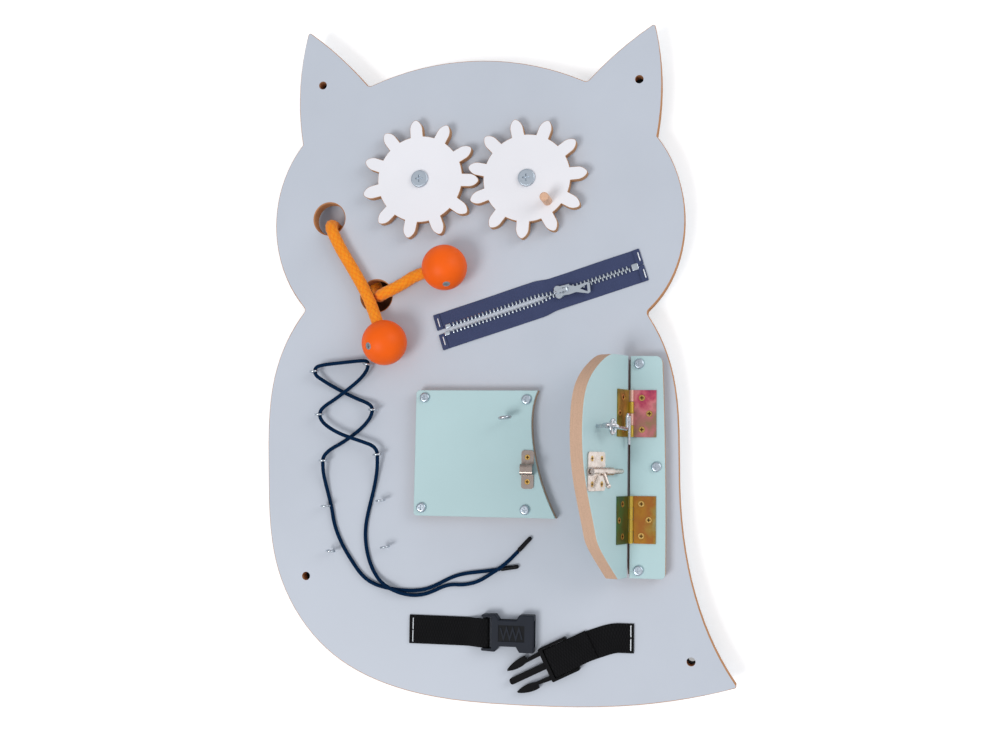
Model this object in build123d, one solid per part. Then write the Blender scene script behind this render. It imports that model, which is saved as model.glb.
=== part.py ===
from build123d import *
import math
import os

# Owl-shaped busy board.  Millimetres.  X to the board's right, Y towards the ears, Z out of the
# front face.  The origin is at the middle of the outline, on the plane of the wall behind.

# ---------------------------------------------------------------- driving dimensions
BOARD_T = 12.0            # board, wing and strip are cut from 12 mm fibreboard
SPACER_H = 16.0           # stand-off behind the board, room for the rope and the nuts
SPACER_D = 28.0
WALL_HOLE_D = 7.5
EDGE_EASE = 0.6           # small bevel round the painted faces
TOP = SPACER_H + BOARD_T  # height of the board's front face
CLEAR = 0.3               # gap between bodies that move past each other

WALL_HOLES = {
    "upper_left": (-166.6, 250.8),
    "upper_right": (125.0, 242.5),
    "lower_left": (-171.8, -198.7),
    "lower_right": (171.4, -259.4),
}

ROPE_HOLE_D = 29.0
ROPE_HOLE_A = (-157.3, 126.0)
ROPE_HOLE_B = (-111.0, 54.3)
ROPE_D = 11.0
BALL_D = 40.0
BALL_UPPER = (-43.1, 76.0)
BALL_LOWER = (-96.6, 10.0)
BALL_BORE_D = 11.4
BALL_LIFT = 0.2           # ball above the paint

GEAR_T = 8.0
GEAR_TEETH = 11
GEAR_ROOT_R = 38.6
GEAR_TIP_R = 53.9
GEAR_LEFT = (-69.7, 157.8)
GEAR_RIGHT = (27.5, 155.7)
GEAR_LEFT_PHASE = -2.9
GEAR_RIGHT_PHASE = 4.0
GEAR_WASHER_T = 2.0
AXLE_D = 9.8
AXLE_BORE_D = 10.0
AXLE_CAP_D = 15.4
PEG_D = 8.0
PEG_H = 20.0
PEG_OFFSET = (18.9, -21.1)

PLATE_T = 10.0
PLATE_LEFT = (-69.3, -70.0)      # at the top and at the bottom
PLATE_RIGHT = (39.7, 56.4)
PLATE_TOP_Y = -31.4
PLATE_SIDE = 110.4
PLATE_CORNER_R = 3.0
PLATE_BOLTS = [(-61.4, -38.0), (29.9, -39.3), (-62.8, -134.6), (29.5, -134.8)]
BOLT_HEAD_D = 8.8

HINGE_X = 121.3            # pin axis of the wing's hinges
STRIP_LEFT = HINGE_X - 1.2
WING_ROOT = 1.9           # pin axis to the wing's straight edge
STRIP_TOP_Y = -1.8
STRIP_BOTTOM_Y = -190.2
STRIP_BOLTS = [(127.4, -8.6), (142.3, -96.1), (127.7, -183.5)]
WING_REST_ANGLE = 69.0    # how far the wing stands open
WING_T = BOARD_T - 0.4    # leaves the shut wing just clear of the paint

HINGE_Y = {"upper_hinge": -51.1, "lower_hinge": -140.9}
HINGE_LEN = 40.0
LEAF = {                  # strip side +1, wing side -1: leaf width, then two screw distances
    1: (21.0, 8.7, 15.0),
    -1: (22.6, 12.6, 18.8),
}
LEAF_T = 1.0
PIN_D = 2.2
KNUCKLE_D = 4.2
KNUCKLES = 4
AXIS_Z = TOP + BOARD_T + KNUCKLE_D / 2 + 0.1

LATCH_Y = -100.0          # line of the barrel bolt and its keeper
ROD_D = 4.4
ROD_LIFT = 3.8            # rod axis above the wing's face
ROD_TRAVEL = 18.5

HOOK_U = 58.5             # hook's screw eye, distance from the hinge axis
HOOK_Y = -63.2
HOOK_EYE_LIFT = 12.5
HOOK_WIRE_D = 3.0
HOOK_RING_R = 5.4
HOOK_EYE_R = 5.6
HOOK_EYE_TURN = -10.0     # the eye is screwed in this far off square
HOOK_REACH = 49.0         # eye centre to the hook's outer leg
HOOK_REST_TILT = 8.8      # the hanging hook leans this much towards the wing
RECEIVER = (13.2, -55.5)
RECEIVER_RING_R = 4.6
RECEIVER_WIRE_D = 2.8
RECEIVER_LIFT = 12.0

ZIP_START = (-52.4, 20.3)
ZIP_END = (129.6, 78.6)
ZIP_TAPE_W = 14.4
ZIP_TAPE_T = 0.8
ZIP_OPEN = 2.0            # half the gap between the tapes at the open end
ZIP_SHUT = 0.15           # and behind the slider
ZIP_SLIDER_AT = 117.5     # slider's place along the zip, from its open end
ZIP_PITCH = 3.5
ZIP_TOOTH = (1.5, 3.9, 1.4)       # along the zip, across it, high
ZIP_TOOTH_OUT = 0.95      # a tooth stands this far past its tape's edge
ZIP_ROWS = {"upper": (1, 15.6, 10.3), "lower": (-1, 13.85, 7.7)}   # side, first tooth, top stop
PULLER_PIVOT = -0.4       # pivot of the puller, along the zip from the slider's middle
PULLER_Z = 5.65           # and above the board
PULLER_SWIVEL = -12.0

STRAP_W = 25.0
STRAP_T = 1.6

LACE_D = 3.4
EYE_WIRE_D = 1.8
EYE_RING_R = 3.6
EYE_LIFT = 8.0
LACE_EYES = [             # x, y and the turn of the ring about its shank, degrees
    (-165.9, -14.7, 6), (-160.2, -53.5, 0), (-155.4, -94.8, 0), (-152.1, -135.3, 3),
    (-146.4, -175.1, -4), (-115.6, -8.4, -5), (-109.8, -49.0, 0), (-104.6, -88.7, 6),
    (-101.0, -129.4, 8), (-96.0, -170.2, 10),
]

NODES = {}


# ---------------------------------------------------------------- small helpers
def keep(name, *solids):
    """Store one node: a single solid, or a group of like solids."""
    found = []
    for shape in solids:
        found.extend(shape.solids())
    NODES[name] = found[0] if len(found) == 1 else Compound(children=found)


def at(x, y, z=0.0):
    """A place x, y on the board, z above its front face."""
    return Pos(x, y, TOP + z)


def rod(start, end, diameter):
    """Round bar from one point to another."""
    a = Vector(*start)
    b = Vector(*end)
    plane = Plane(origin=a, z_dir=b - a)
    return extrude(plane * Circle(diameter / 2), amount=(b - a).length)


def tube_along(points, diameter, label):
    """Round cord on straight runs joined by arcs as large as the runs allow."""
    nodes = [Vector(*p) for p in points]
    runs = [b - a for a, b in zip(nodes, nodes[1:])]
    radii = []
    for first, second in zip(runs, runs[1:]):
        half_turn = math.radians(first.get_angle(second)) / 2
        radii.append(0.45 * min(first.length, second.length) / math.tan(half_turn))
    path = FilletPolyline(*nodes, radius=radii)
    section = Plane(origin=path @ 0, z_dir=path % 0) * Circle(diameter / 2)
    body = sweep(section, path=path)
    ideal = math.pi * diameter ** 2 / 4 * path.length
    print(f"{label}: length {path.length:.1f}, volume ratio {body.volume / ideal:.4f}")
    print("  radii", " ".join(f"{r:.1f}" for r in radii))
    return body


def dome_bolt(x, y, face_z, head_d, shank_d, tail_z, head_h=2.6):
    """Pan-head bolt: domed head with a cross recess, shank down to tail_z."""
    head = Cylinder(head_d / 2, head_h, align=(Align.CENTER, Align.CENTER, Align.MIN))
    head = Pos(x, y, face_z) * head
    head = fillet(head.edges().group_by(Axis.Z)[-1], head_h * 0.62)
    cross = Pos(x, y, face_z + head_h) * (Box(head_d * 0.5, 0.9, 2.4) + Box(0.9, head_d * 0.5, 2.4))
    shank = rod((x, y, face_z), (x, y, tail_z), shank_d)
    return head + shank - cross


def hex_nut(x, y, z, flats, height, bore_d):
    """Hexagon nut standing on the plane z."""
    prism = extrude(RegularPolygon(flats / 2, 6, major_radius=False), amount=height)
    return Pos(x, y, z) * (prism - Cylinder(bore_d / 2, 3 * height))


def countersunk(x, y, face_z, head_d, shank_d, length):
    """Flat-head screw with its head in the plane face_z, cross recess in the head."""
    half = (head_d - shank_d) / 2
    cone = Cone(shank_d / 2, head_d / 2, half, align=(Align.CENTER, Align.CENTER, Align.MAX))
    shank = Cylinder(shank_d / 2, length, align=(Align.CENTER, Align.CENTER, Align.MAX))
    cross = Box(head_d * 0.62, 0.95, 2.0) + Box(0.95, head_d * 0.62, 2.0)
    return Pos(x, y, face_z) * (cone + shank - cross)


def countersink(x, y, face_z, head_d, shank_d, depth, slack=0.05):
    """Tool body for a countersunk hole that takes the screw above."""
    half = (head_d - shank_d) / 2
    downwards = (Align.CENTER, Align.CENTER, Align.MAX)
    cone = Cone(shank_d / 2 + slack, head_d / 2 + slack, half, align=downwards)
    hole = Cylinder(shank_d / 2 + slack, depth, align=downwards)
    return Pos(x, y, face_z) * (cone + hole)


def bored(body, places, diameter):
    """Body with straight holes through it along Z."""
    for x, y in places:
        body -= Pos(x, y, TOP) * Cylinder(diameter / 2, 120)
    return body


def eased(body, amount):
    """Bevel round the outline of the front face."""
    return chamfer(body.faces().sort_by(Axis.Z)[-1].outer_wire().edges(), amount)


# ---------------------------------------------------------------- board and what it stands on
def board_outline():
    """Owl: two pointed ears, round head, waist, body that sweeps out to a tail at lower right."""
    left_ear_tip = (-181.5, 302.1)
    left_notch = (-122.2, 247.3)
    right_notch = (78.9, 242.2)
    right_ear_tip = (138.4, 292.0)
    right_head = (140.7, 191.3)
    right_waist = (132.0, 37.2)
    tail_tip = (210.2, -279.1)
    left_waist = (-177.9, 42.3)
    left_head = (-184.7, 195.7)
    lines = [
        ThreePointArc(left_ear_tip, (-150.8, 277.0), left_notch),
        ThreePointArc(left_notch, (-20.0, 266.6), right_notch),
        ThreePointArc(right_notch, (108.6, 270.3), right_ear_tip),
        Spline(right_ear_tip, (144.6, 243.0), right_head),
        Spline(right_head, (165.1, 115.0), (148.2, 56.1), right_waist),
        Spline(right_waist, (156.2, -21.6), (161.6, -120.0), (187.9, -240.5), tail_tip),
        Spline(tail_tip, (129.6, -297.3), (20.0, -303.2), (-94.1, -291.0), (-147.5, -265.3),
               (-199.0, -193.0), (-210.2, -105.0), (-207.0, -20.0), left_waist),
        Spline(left_waist, (-206.5, 98.2), (-207.7, 142.1), left_head),
        Spline(left_head, (-188.9, 245.0), left_ear_tip),
    ]
    return make_face(lines)


def make_board():
    body = extrude(Pos(0, 0, SPACER_H) * board_outline(), amount=BOARD_T)
    notches = [(-122.2, 247.3), (78.9, 242.2), (132.0, 37.2), (-177.9, 42.3)]
    tips = [(-181.5, 302.1), (138.4, 292.0), (210.2, -279.1)]
    upright = body.edges().filter_by(Axis.Z)
    for places, radius in ((notches, 4.0), (tips, 2.0)):
        for x, y in places:
            corner = body.edges().filter_by(Axis.Z).sort_by_distance((x, y, TOP - BOARD_T / 2))[0]
            body = fillet(corner, radius)
    body = eased(body, EDGE_EASE)
    for x, y in (ROPE_HOLE_A, ROPE_HOLE_B):
        body -= Pos(x, y, TOP) * Cylinder(ROPE_HOLE_D / 2, 3 * BOARD_T)
        body -= Pos(x, y, TOP) * Cone(ROPE_HOLE_D / 2, ROPE_HOLE_D / 2 + 1, 1,
                                      align=(Align.CENTER, Align.CENTER, Align.MAX))
    body = bored(body, WALL_HOLES.values(), WALL_HOLE_D)
    body = bored(body, [GEAR_LEFT, GEAR_RIGHT], AXLE_BORE_D)
    body = bored(body, PLATE_BOLTS + STRIP_BOLTS, 5.2)
    body = bored(body, [(x, y) for x, y, _ in LACE_EYES], EYE_WIRE_D + 0.1)
    keep("board_panel", body)


def make_spacers():
    for name, (x, y) in WALL_HOLES.items():
        pad = Cylinder(SPACER_D / 2, SPACER_H, align=(Align.CENTER, Align.CENTER, Align.MIN))
        pad = chamfer(pad.edges().group_by(Axis.Z)[0], 1.0)
        pad -= Cylinder(WALL_HOLE_D / 2, 3 * SPACER_H)
        keep(f"spacer_{name}", Pos(x, y, 0) * pad)


# ---------------------------------------------------------------- gears
def gear_face(phase):
    """Flat gear outline: straight-sided teeth with pointed round tips."""
    pitch = 360 / GEAR_TEETH
    root_half = 5.9
    root_r = math.hypot(GEAR_ROOT_R, root_half)
    flank = [(GEAR_ROOT_R, root_half), (44.5, 5.85)]
    tip = [(50.5, 4.3), (53.1, 2.0), (GEAR_TIP_R, 0.0)]

    def turned(point, angle, side):
        radial, half = point
        a = math.radians(angle)
        return (radial * math.cos(a) - side * half * math.sin(a),
                radial * math.sin(a) + side * half * math.cos(a))

    lines = []
    for tooth in range(GEAR_TEETH):
        angle = phase + tooth * pitch
        foot_a, hip_a = (turned(p, angle, -1) for p in flank)
        foot_b, hip_b = (turned(p, angle, 1) for p in flank)
        shoulder_a, brow_a = (turned(p, angle, -1) for p in tip[:2])
        shoulder_b, brow_b = (turned(p, angle, 1) for p in tip[:2])
        crown = turned(tip[2], angle, 1)
        next_foot = turned(flank[0], angle + pitch, -1)
        middle = math.radians(angle + pitch / 2)
        root_mid = (root_r * math.cos(middle), root_r * math.sin(middle))
        lines += [
            Line(foot_a, hip_a),
            ThreePointArc(hip_a, shoulder_a, brow_a),
            ThreePointArc(brow_a, crown, brow_b),
            ThreePointArc(brow_b, shoulder_b, hip_b),
            Line(hip_b, foot_b),
            ThreePointArc(foot_b, root_mid, next_foot),
        ]
    return make_face(lines)


def make_gear_set(side, center, phase):
    x, y = center
    gear_z = GEAR_WASHER_T + 0.1
    gear = extrude(gear_face(phase), amount=GEAR_T) - Cylinder(AXLE_BORE_D / 2, 3 * GEAR_T)
    gear = chamfer(gear.faces().sort_by(Axis.Z)[-1].outer_wire().edges(), 0.4)
    if side == "right":
        gear -= Pos(*PEG_OFFSET) * Cylinder(PEG_D / 2, 3 * GEAR_T)
        peg = Cylinder(PEG_D / 2, PEG_H + GEAR_T, align=(Align.CENTER, Align.CENTER, Align.MIN))
        peg = fillet(peg.edges().group_by(Axis.Z)[-1], 1.6)
        keep("gear_peg", at(x + PEG_OFFSET[0], y + PEG_OFFSET[1], gear_z) * peg)
    keep(f"gear_{side}", at(x, y, gear_z) * gear)

    cap_z = gear_z + GEAR_T + CLEAR
    cap = Cylinder(AXLE_CAP_D / 2, 2.2, align=(Align.CENTER, Align.CENTER, Align.MIN))
    cap = fillet(cap.edges().group_by(Axis.Z)[-1], 1.2)
    sleeve_len = cap_z + BOARD_T
    sleeve = Cylinder(AXLE_D / 2, sleeve_len, align=(Align.CENTER, Align.CENTER, Align.MAX))
    recess = Pos(0, 0, 2.2) * (Box(6.5, 1.5, 3) + Box(1.5, 6.5, 3))
    thread = Pos(0, 0, -sleeve_len) * Cylinder(3, 14, align=(Align.CENTER, Align.CENTER, Align.MIN))
    keep(f"gear_axle_{side}", at(x, y, cap_z) * (cap + sleeve - recess - thread))


def make_gear_fastenings():
    """Washers under the gears and the nuts that close their sleeves behind the board."""
    washer = Cylinder(10, GEAR_WASHER_T, align=(Align.CENTER, Align.CENTER, Align.MIN))
    washer -= Cylinder(AXLE_BORE_D / 2, 10)
    nut = Cylinder(AXLE_CAP_D / 2, 2.4, align=(Align.CENTER, Align.CENTER, Align.MAX))
    nut = fillet(nut.edges().group_by(Axis.Z)[0], 1.2)
    nut += Cylinder(2.95, 12, align=(Align.CENTER, Align.CENTER, Align.MIN))
    centers = (GEAR_LEFT, GEAR_RIGHT)
    keep("gear_washers", *[at(x, y) * washer for x, y in centers])
    keep("gear_nuts", *[Pos(x, y, SPACER_H) * nut for x, y in centers])


# ---------------------------------------------------------------- rope with two balls
ROPE_LOW_DIR = Vector(-0.40, 0.873, -0.283).normalized()
ROPE_HIGH_DIR = Vector(-0.929, -0.138, -0.343).normalized()
BALL_LOW_C = Vector(BALL_LOWER[0], BALL_LOWER[1], TOP + BALL_D / 2 + BALL_LIFT)
BALL_HIGH_C = Vector(BALL_UPPER[0], BALL_UPPER[1], TOP + BALL_D / 2 + BALL_LIFT)
ROPE_BACK = -BOARD_T - ROPE_D / 2 - 0.8
ROPE_FRONT = ROPE_D / 2 + 0.8

ROPE_ROUTE = [            # x, y and height above the board's front face
    (-117.2, 54.0, 7.2),
    (-127.8, 72.0, 6.4),
    (-138.0, 87.8, 6.2),
    (-146.1, 101.0, ROPE_FRONT),
    (-155.6, 120.4, ROPE_FRONT),
    (-155.6, 120.4, ROPE_BACK),
    (-142.8, 101.4, ROPE_BACK - 0.3),
    (-126.5, 80.5, ROPE_BACK),
    (-111.5, 56.5, ROPE_BACK),
    (-107.5, 53.0, 6.8),
    (-85.0, 63.6, 6.4),
]


def make_rope_and_balls():
    middle = [Vector(x, y, TOP + z) for x, y, z in ROPE_ROUTE]
    route = [BALL_LOW_C + ROPE_LOW_DIR * 10, BALL_LOW_C + ROPE_LOW_DIR * 31]
    route += middle
    route += [BALL_HIGH_C + ROPE_HIGH_DIR * 31, BALL_HIGH_C + ROPE_HIGH_DIR * 10]
    keep("pull_rope", tube_along(route, ROPE_D, "pull_rope"))

    screw_dirs = {"lower": Vector(-9.7, -4.6, 16.9), "upper": Vector(4.7, -16.4, 10.4)}
    balls = (("lower", BALL_LOW_C, ROPE_LOW_DIR), ("upper", BALL_HIGH_C, ROPE_HIGH_DIR))
    for name, center, mouth in balls:
        ball = Pos(*center) * Sphere(BALL_D / 2)
        ball -= rod(center + mouth * 8, center + mouth * 40, BALL_BORE_D)
        out = screw_dirs[name].normalized()
        seat = Plane(origin=center + out * (BALL_D / 2 - 0.4), z_dir=out).location
        ball -= seat * countersink(0, 0, 0, 6.4, 3.0, 10.5)
        ball -= rod(center + out * (BALL_D / 2 - 0.4), center + out * (BALL_D / 2 + 3), 6.6)
        keep(f"ball_{name}", ball)
        keep(f"ball_screw_{name}", seat * countersunk(0, 0, 0, 6.4, 3.0, 10.0))


# ---------------------------------------------------------------- zip
ZIP_AXIS = Vector(ZIP_END[0] - ZIP_START[0], ZIP_END[1] - ZIP_START[1], 0)
ZIP_LEN = ZIP_AXIS.length
ZIP_TURN = math.degrees(math.atan2(ZIP_AXIS.Y, ZIP_AXIS.X))
ZIP_LOC = Pos(ZIP_START[0], ZIP_START[1], TOP) * Rot(0, 0, ZIP_TURN)


def zip_half_gap(s):
    """Half the gap between the tapes at s along the zip."""
    blend = min(1.0, max(0.0, (ZIP_SLIDER_AT - 8 - s) / 22))
    smooth = blend * blend * (3 - 2 * blend)
    return ZIP_SHUT + (ZIP_OPEN - ZIP_SHUT) * smooth


def on_tape(s, across, lift, size):
    """Small block lying on the tapes: s along the zip, across it, lift above the tape."""
    return ZIP_LOC * Pos(s, across, 0.05 + ZIP_TAPE_T + lift + size[2] / 2) * Box(*size)


def make_zip():
    stations = [0, ZIP_SLIDER_AT - 30, ZIP_SLIDER_AT - 25, ZIP_SLIDER_AT - 19, ZIP_SLIDER_AT - 13,
                ZIP_SLIDER_AT - 8, ZIP_LEN]
    last_tooth = ZIP_LEN - 11.5
    middle = ZIP_TOOTH[1] / 2 - ZIP_TOOTH_OUT
    stops = []
    for name, (side, first_tooth, stop_at) in ZIP_ROWS.items():
        inner = [(s, side * zip_half_gap(s)) for s in stations]
        outer = [(s, side * (zip_half_gap(s) + ZIP_TAPE_W)) for s in reversed(stations)]
        tape = extrude(make_face(Polyline(*inner, *outer, close=True)), amount=ZIP_TAPE_T)
        keep(f"zip_tape_{name}", ZIP_LOC * Pos(0, 0, 0.05) * tape)

        teeth = []
        for i in range(int((last_tooth - first_tooth) / ZIP_PITCH) + 1):
            s = first_tooth + i * ZIP_PITCH
            teeth.append(on_tape(s, side * (zip_half_gap(s) + middle), 0.05, ZIP_TOOTH))
        keep(f"zip_teeth_{name}", *teeth)
        stops.append(on_tape(stop_at, side * (ZIP_OPEN + middle), 0.05, (4.8, 3.6, 1.3)))
    keep("zip_top_stops", *stops)

    box = Box(5.8, 5.8, 1.6)
    box = fillet(box.edges().filter_by(Axis.Z), 0.8)
    keep("zip_bottom_box", ZIP_LOC * Pos(ZIP_LEN - 7.5, 0, 0.05 + ZIP_TAPE_T + 0.85) * box)

    places = ((3.2, 8.4), (3.2, -8.7), (ZIP_LEN - 1.6, 7.6), (ZIP_LEN - 1.2, -8.0))
    keep("zip_staples", *[on_tape(s, across, 0.05, (1.1, 7.4, 0.6)) for s, across in places])


def make_slider():
    """Slider: heart-shaped crown over both rows, low side walls, long bridge for the puller."""
    roof_in, roof_out = 2.75, 4.25
    skirt = 1.2
    upwards = (Align.CENTER, Align.CENTER, Align.MIN)
    crown = extrude(make_face(Polyline((-4, -4.9), (7.2, -4.2), (7.2, 4.2), (-4, 4.9), close=True)),
                    amount=roof_out - skirt)
    for side in (1, -1):
        crown += Pos(-3.9, side * 2.5, 0) * Cylinder(3.4, roof_out - skirt, align=upwards)
    crown = chamfer(crown.faces().sort_by(Axis.Z)[-1].outer_wire().edges(), 0.35)
    body = Pos(0, 0, skirt) * crown - Box(40, 10.4, 2 * roof_in)
    bridge = Pos(-0.5, 0, roof_out + 1.75) * Box(11.0, 2.4, 3.9)
    bridge = fillet(bridge.edges().filter_by(Axis.Y).group_by(Axis.Z)[-1], 1.6)
    body += bridge
    body -= Pos(0, 0, roof_out + 1.4) * Box(5.4, 6, 2.5)
    place = ZIP_LOC * Pos(ZIP_SLIDER_AT, 0, 0)
    keep("zip_slider", place * body)

    thick = 1.0
    half = [(-0.5, 4.1), (6.2, 4.1), (12.5, 2.6), (23.0, 5.0), (25.0, 4.0)]
    outline = half + [(x, -y) for x, y in reversed(half)]
    tab = extrude(make_face(Polyline(*outline, close=True)), amount=thick / 2, both=True)
    tab = fillet(tab.edges().filter_by(Axis.Z), 1.0)
    tab -= Pos(3.5, 0, 0) * Box(6.0, 5.4, 4)
    eye = make_face(Polyline((16.2, 0), (22.6, -3.3), (22.6, 3.3), close=True))
    tab -= extrude(eye, amount=2 * thick, both=True)
    keep("zip_puller", place * Pos(PULLER_PIVOT, 0, PULLER_Z) * Rot(0, 0, PULLER_SWIVEL) * tab)


# ---------------------------------------------------------------- lacing
LACE_ROUTE = [            # x, y and height of the lace's middle above the board's front face
    (6.7, -186.9, 2.0), (-4.5, -188.8, 1.9), (-14.5, -190.1, 1.9), (-24.5, -191.6, 1.9),
    (-34.0, -194.2, 1.9), (-43.0, -198.6, 1.9), (-52.0, -203.5, 1.9), (-61.0, -206.8, 1.9),
    (-71.0, -208.2, 1.9), (-83.0, -208.0, 1.9), (-96.0, -206.6, 1.9), (-108.5, -203.2, 1.9),
    (-118.6, -196.6, 1.9), (-128.3, -184.0, 1.9), (-138.5, -168.4, 1.9), (-145.6, -152.0, 1.9),
    (-148.3, -136.6, 1.9), (-152.6, -121.5, 2.2), (-155.8, -107.5, 4.6),
    (-155.6, -97.8, 8.0), (-155.4, -91.2, 8.0), (-150.0, -84.8, 5.6), (-138.9, -78.4, 2.7),
    (-123.4, -67.2, 2.7), (-114.8, -59.2, 5.6), (-110.4, -52.6, 8.0), (-110.2, -46.4, 8.0),
    (-115.9, -42.6, 5.6), (-128.8, -38.2, 2.7), (-150.0, -27.8, 2.7), (-159.4, -21.8, 5.8),
    (-165.0, -17.6, 8.0), (-165.0, -11.0, 8.0), (-157.6, -8.6, 7.6), (-139.5, -6.7, 7.0),
    (-122.5, -5.0, 7.6), (-115.2, -5.2, 8.0), (-115.0, -11.8, 8.0), (-119.8, -19.4, 8.2),
    (-129.6, -28.2, 8.5), (-145.4, -40.0, 8.5), (-154.6, -45.6, 8.2), (-159.4, -50.5, 8.0),
    (-159.4, -56.8, 8.0), (-153.0, -63.8, 8.2), (-139.6, -71.0, 8.5), (-120.0, -77.1, 8.5),
    (-109.4, -80.6, 8.2), (-104.9, -85.6, 8.0), (-104.6, -92.2, 8.0), (-105.6, -102.0, 4.6),
    (-108.4, -117.0, 2.2), (-113.0, -135.4, 1.9), (-116.2, -151.5, 1.9), (-116.2, -165.0, 1.9),
    (-113.8, -178.2, 1.9), (-109.2, -190.2, 2.1), (-102.0, -200.0, 4.2), (-92.6, -206.2, 6.1),
    (-82.4, -210.4, 5.0), (-71.8, -212.4, 2.2), (-61.4, -211.2, 1.9), (-52.6, -207.8, 1.9),
    (-44.8, -203.8, 1.9), (-36.4, -201.4, 1.9), (-26.6, -201.6, 1.9), (-17.0, -199.8, 2.3),
    (-8.8, -196.2, 4.2), (-1.4, -191.4, 6.4), (5.4, -187.0, 6.4), (11.3, -182.4, 4.2),
    (17.2, -176.8, 2.3), (22.5, -171.0, 2.3),
]
LACE_TIP_D = 3.9
LACE_TIP_LEN = 17.0


def make_lacing():
    route = [Vector(x, y, TOP + z) for x, y, z in LACE_ROUTE]
    keep("lacing_cord", tube_along(route, LACE_D, "lacing_cord"))
    for name, end, before in (("lower", route[0], route[1]), ("upper", route[-1], route[-2])):
        along = (end - before).normalized()
        keep(f"lace_tip_{name}", rod(end, end + along * LACE_TIP_LEN, LACE_TIP_D))

    eyes = []
    for x, y, turn in LACE_EYES:
        loop = Pos(0, 0, EYE_LIFT) * Rot(90, 0, 0) * Torus(EYE_RING_R, EYE_WIRE_D / 2)
        shank = Pos(0, 0, -9) * Cylinder(EYE_WIRE_D / 2, EYE_LIFT - EYE_RING_R + 9,
                                         align=(Align.CENTER, Align.CENTER, Align.MIN))
        eyes.append(at(x, y) * Rot(0, 0, turn) * (loop + shank))
    keep("lacing_eyes", *eyes)


# ---------------------------------------------------------------- wing, plate and strip
def wing_face():
    """Shut wing seen from the front: straight hinge side, leaf-shaped free edge."""
    edge_from_axis = [(24.0, -2.2), (49.4, -9.6), (74.6, -30.6), (82.2, -64.0), (76.0, -107.2),
                      (60.2, -145.8), (18.2, -189.6)]
    points = [(HINGE_X - u, y) for u, y in edge_from_axis]
    edge = Spline(*points, tangents=[(-1, 0), (0.78, -0.62)])
    root = HINGE_X - WING_ROOT
    top, bottom = (root, -1.9), (root, -189.6)
    return make_face([Line(top, points[0]), edge, Line(points[-1], bottom), Line(bottom, top)])


def make_plate():
    bottom_y = PLATE_TOP_Y - PLATE_SIDE
    top_left, bottom_left = (PLATE_LEFT[0], PLATE_TOP_Y), (PLATE_LEFT[1], bottom_y)
    top_right, bottom_right = (PLATE_RIGHT[0], PLATE_TOP_Y), (PLATE_RIGHT[1], bottom_y)
    hollow = Spline(top_right, (35.6, -44.5), (34.4, -60.0), (35.6, -77.0), (42.2, -107.5),
                    bottom_right)
    face = make_face([
        Line(bottom_right, bottom_left),
        Line(bottom_left, top_left),
        Line(top_left, top_right),
        hollow,
    ])
    body = extrude(at(0, 0) * face, amount=PLATE_T)
    for x, y in (top_left, bottom_left):
        place = (x, y, TOP + PLATE_T / 2)
        corner = body.edges().filter_by(Axis.Z).sort_by_distance(place)[0]
        body = fillet(corner, PLATE_CORNER_R)
    body = eased(body, 0.4)
    body = bored(body, PLATE_BOLTS, 5.2)
    for x, y in KEEPER_SCREWS:
        body -= at(x, y, PLATE_T) * Cylinder(1.35, 19)
    body -= at(RECEIVER[0], RECEIVER[1], PLATE_T) * Cylinder(EYE_WIRE_D / 2 + 0.25, 14)
    keep("square_plate", body)
    bolts = [dome_bolt(x, y, TOP + PLATE_T, BOLT_HEAD_D, 5.0, SPACER_H - 7) for x, y in PLATE_BOLTS]
    nuts = [hex_nut(x, y, SPACER_H - 4.4, 8.0, 4.0, 5.1) for x, y in PLATE_BOLTS]
    keep("plate_bolts", *bolts)
    keep("plate_nuts", *nuts)


def make_strip():
    top_right = (HINGE_X + 25.6, STRIP_TOP_Y)
    face = make_face([
        Line((STRIP_LEFT, STRIP_BOTTOM_Y), (STRIP_LEFT, STRIP_TOP_Y)),
        Line((STRIP_LEFT, STRIP_TOP_Y), top_right),
        ThreePointArc(top_right, (149.0, -60.0), (150.2, STRIP_BOTTOM_Y)),
        Line((150.2, STRIP_BOTTOM_Y), (STRIP_LEFT, STRIP_BOTTOM_Y)),
    ])
    body = extrude(at(0, 0) * face, amount=BOARD_T)
    for x, y, radius in ((top_right[0], STRIP_TOP_Y, 6.0), (150.2, STRIP_BOTTOM_Y, 4.0)):
        corner = body.edges().filter_by(Axis.Z).sort_by_distance((x, y, TOP + BOARD_T / 2))[0]
        body = fillet(corner, radius)
    body = eased(body, 0.4)
    body = bored(body, STRIP_BOLTS, 5.2)
    for x, y in leaf_screws(1):
        body -= countersink(HINGE_X + x, y, TOP + BOARD_T, 3.3, 3.0, 10.5)
    keep("hinge_strip", body)
    bolts = [dome_bolt(x, y, TOP + BOARD_T, BOLT_HEAD_D, 5.0, SPACER_H - 7) for x, y in STRIP_BOLTS]
    nuts = [hex_nut(x, y, SPACER_H - 4.4, 8.0, 4.0, 5.1) for x, y in STRIP_BOLTS]
    keep("strip_bolts", *bolts)
    keep("strip_nuts", *nuts)


def leaf_screws(side):
    """Distance from the pin axis and y of each screw in one side's leaves."""
    _, near, far = LEAF[side]
    pattern = ((near, 13.4), (far, 0.0), (near, -13.6))
    return [(side * across, middle + along) for middle in HINGE_Y.values() for across, along in pattern]


def opened(shape):
    """Turn a shape drawn on the shut wing to where the wing stands open."""
    return Pos(HINGE_X, 0, AXIS_Z) * Rot(0, WING_REST_ANGLE, 0) * Pos(-HINGE_X, 0, -AXIS_Z) * shape


def on_wing(u, y, w=0.0):
    """A place on the shut wing: u from the hinge axis, w above the front face."""
    return Pos(HINGE_X - u, y, TOP + BOARD_T + w)


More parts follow.
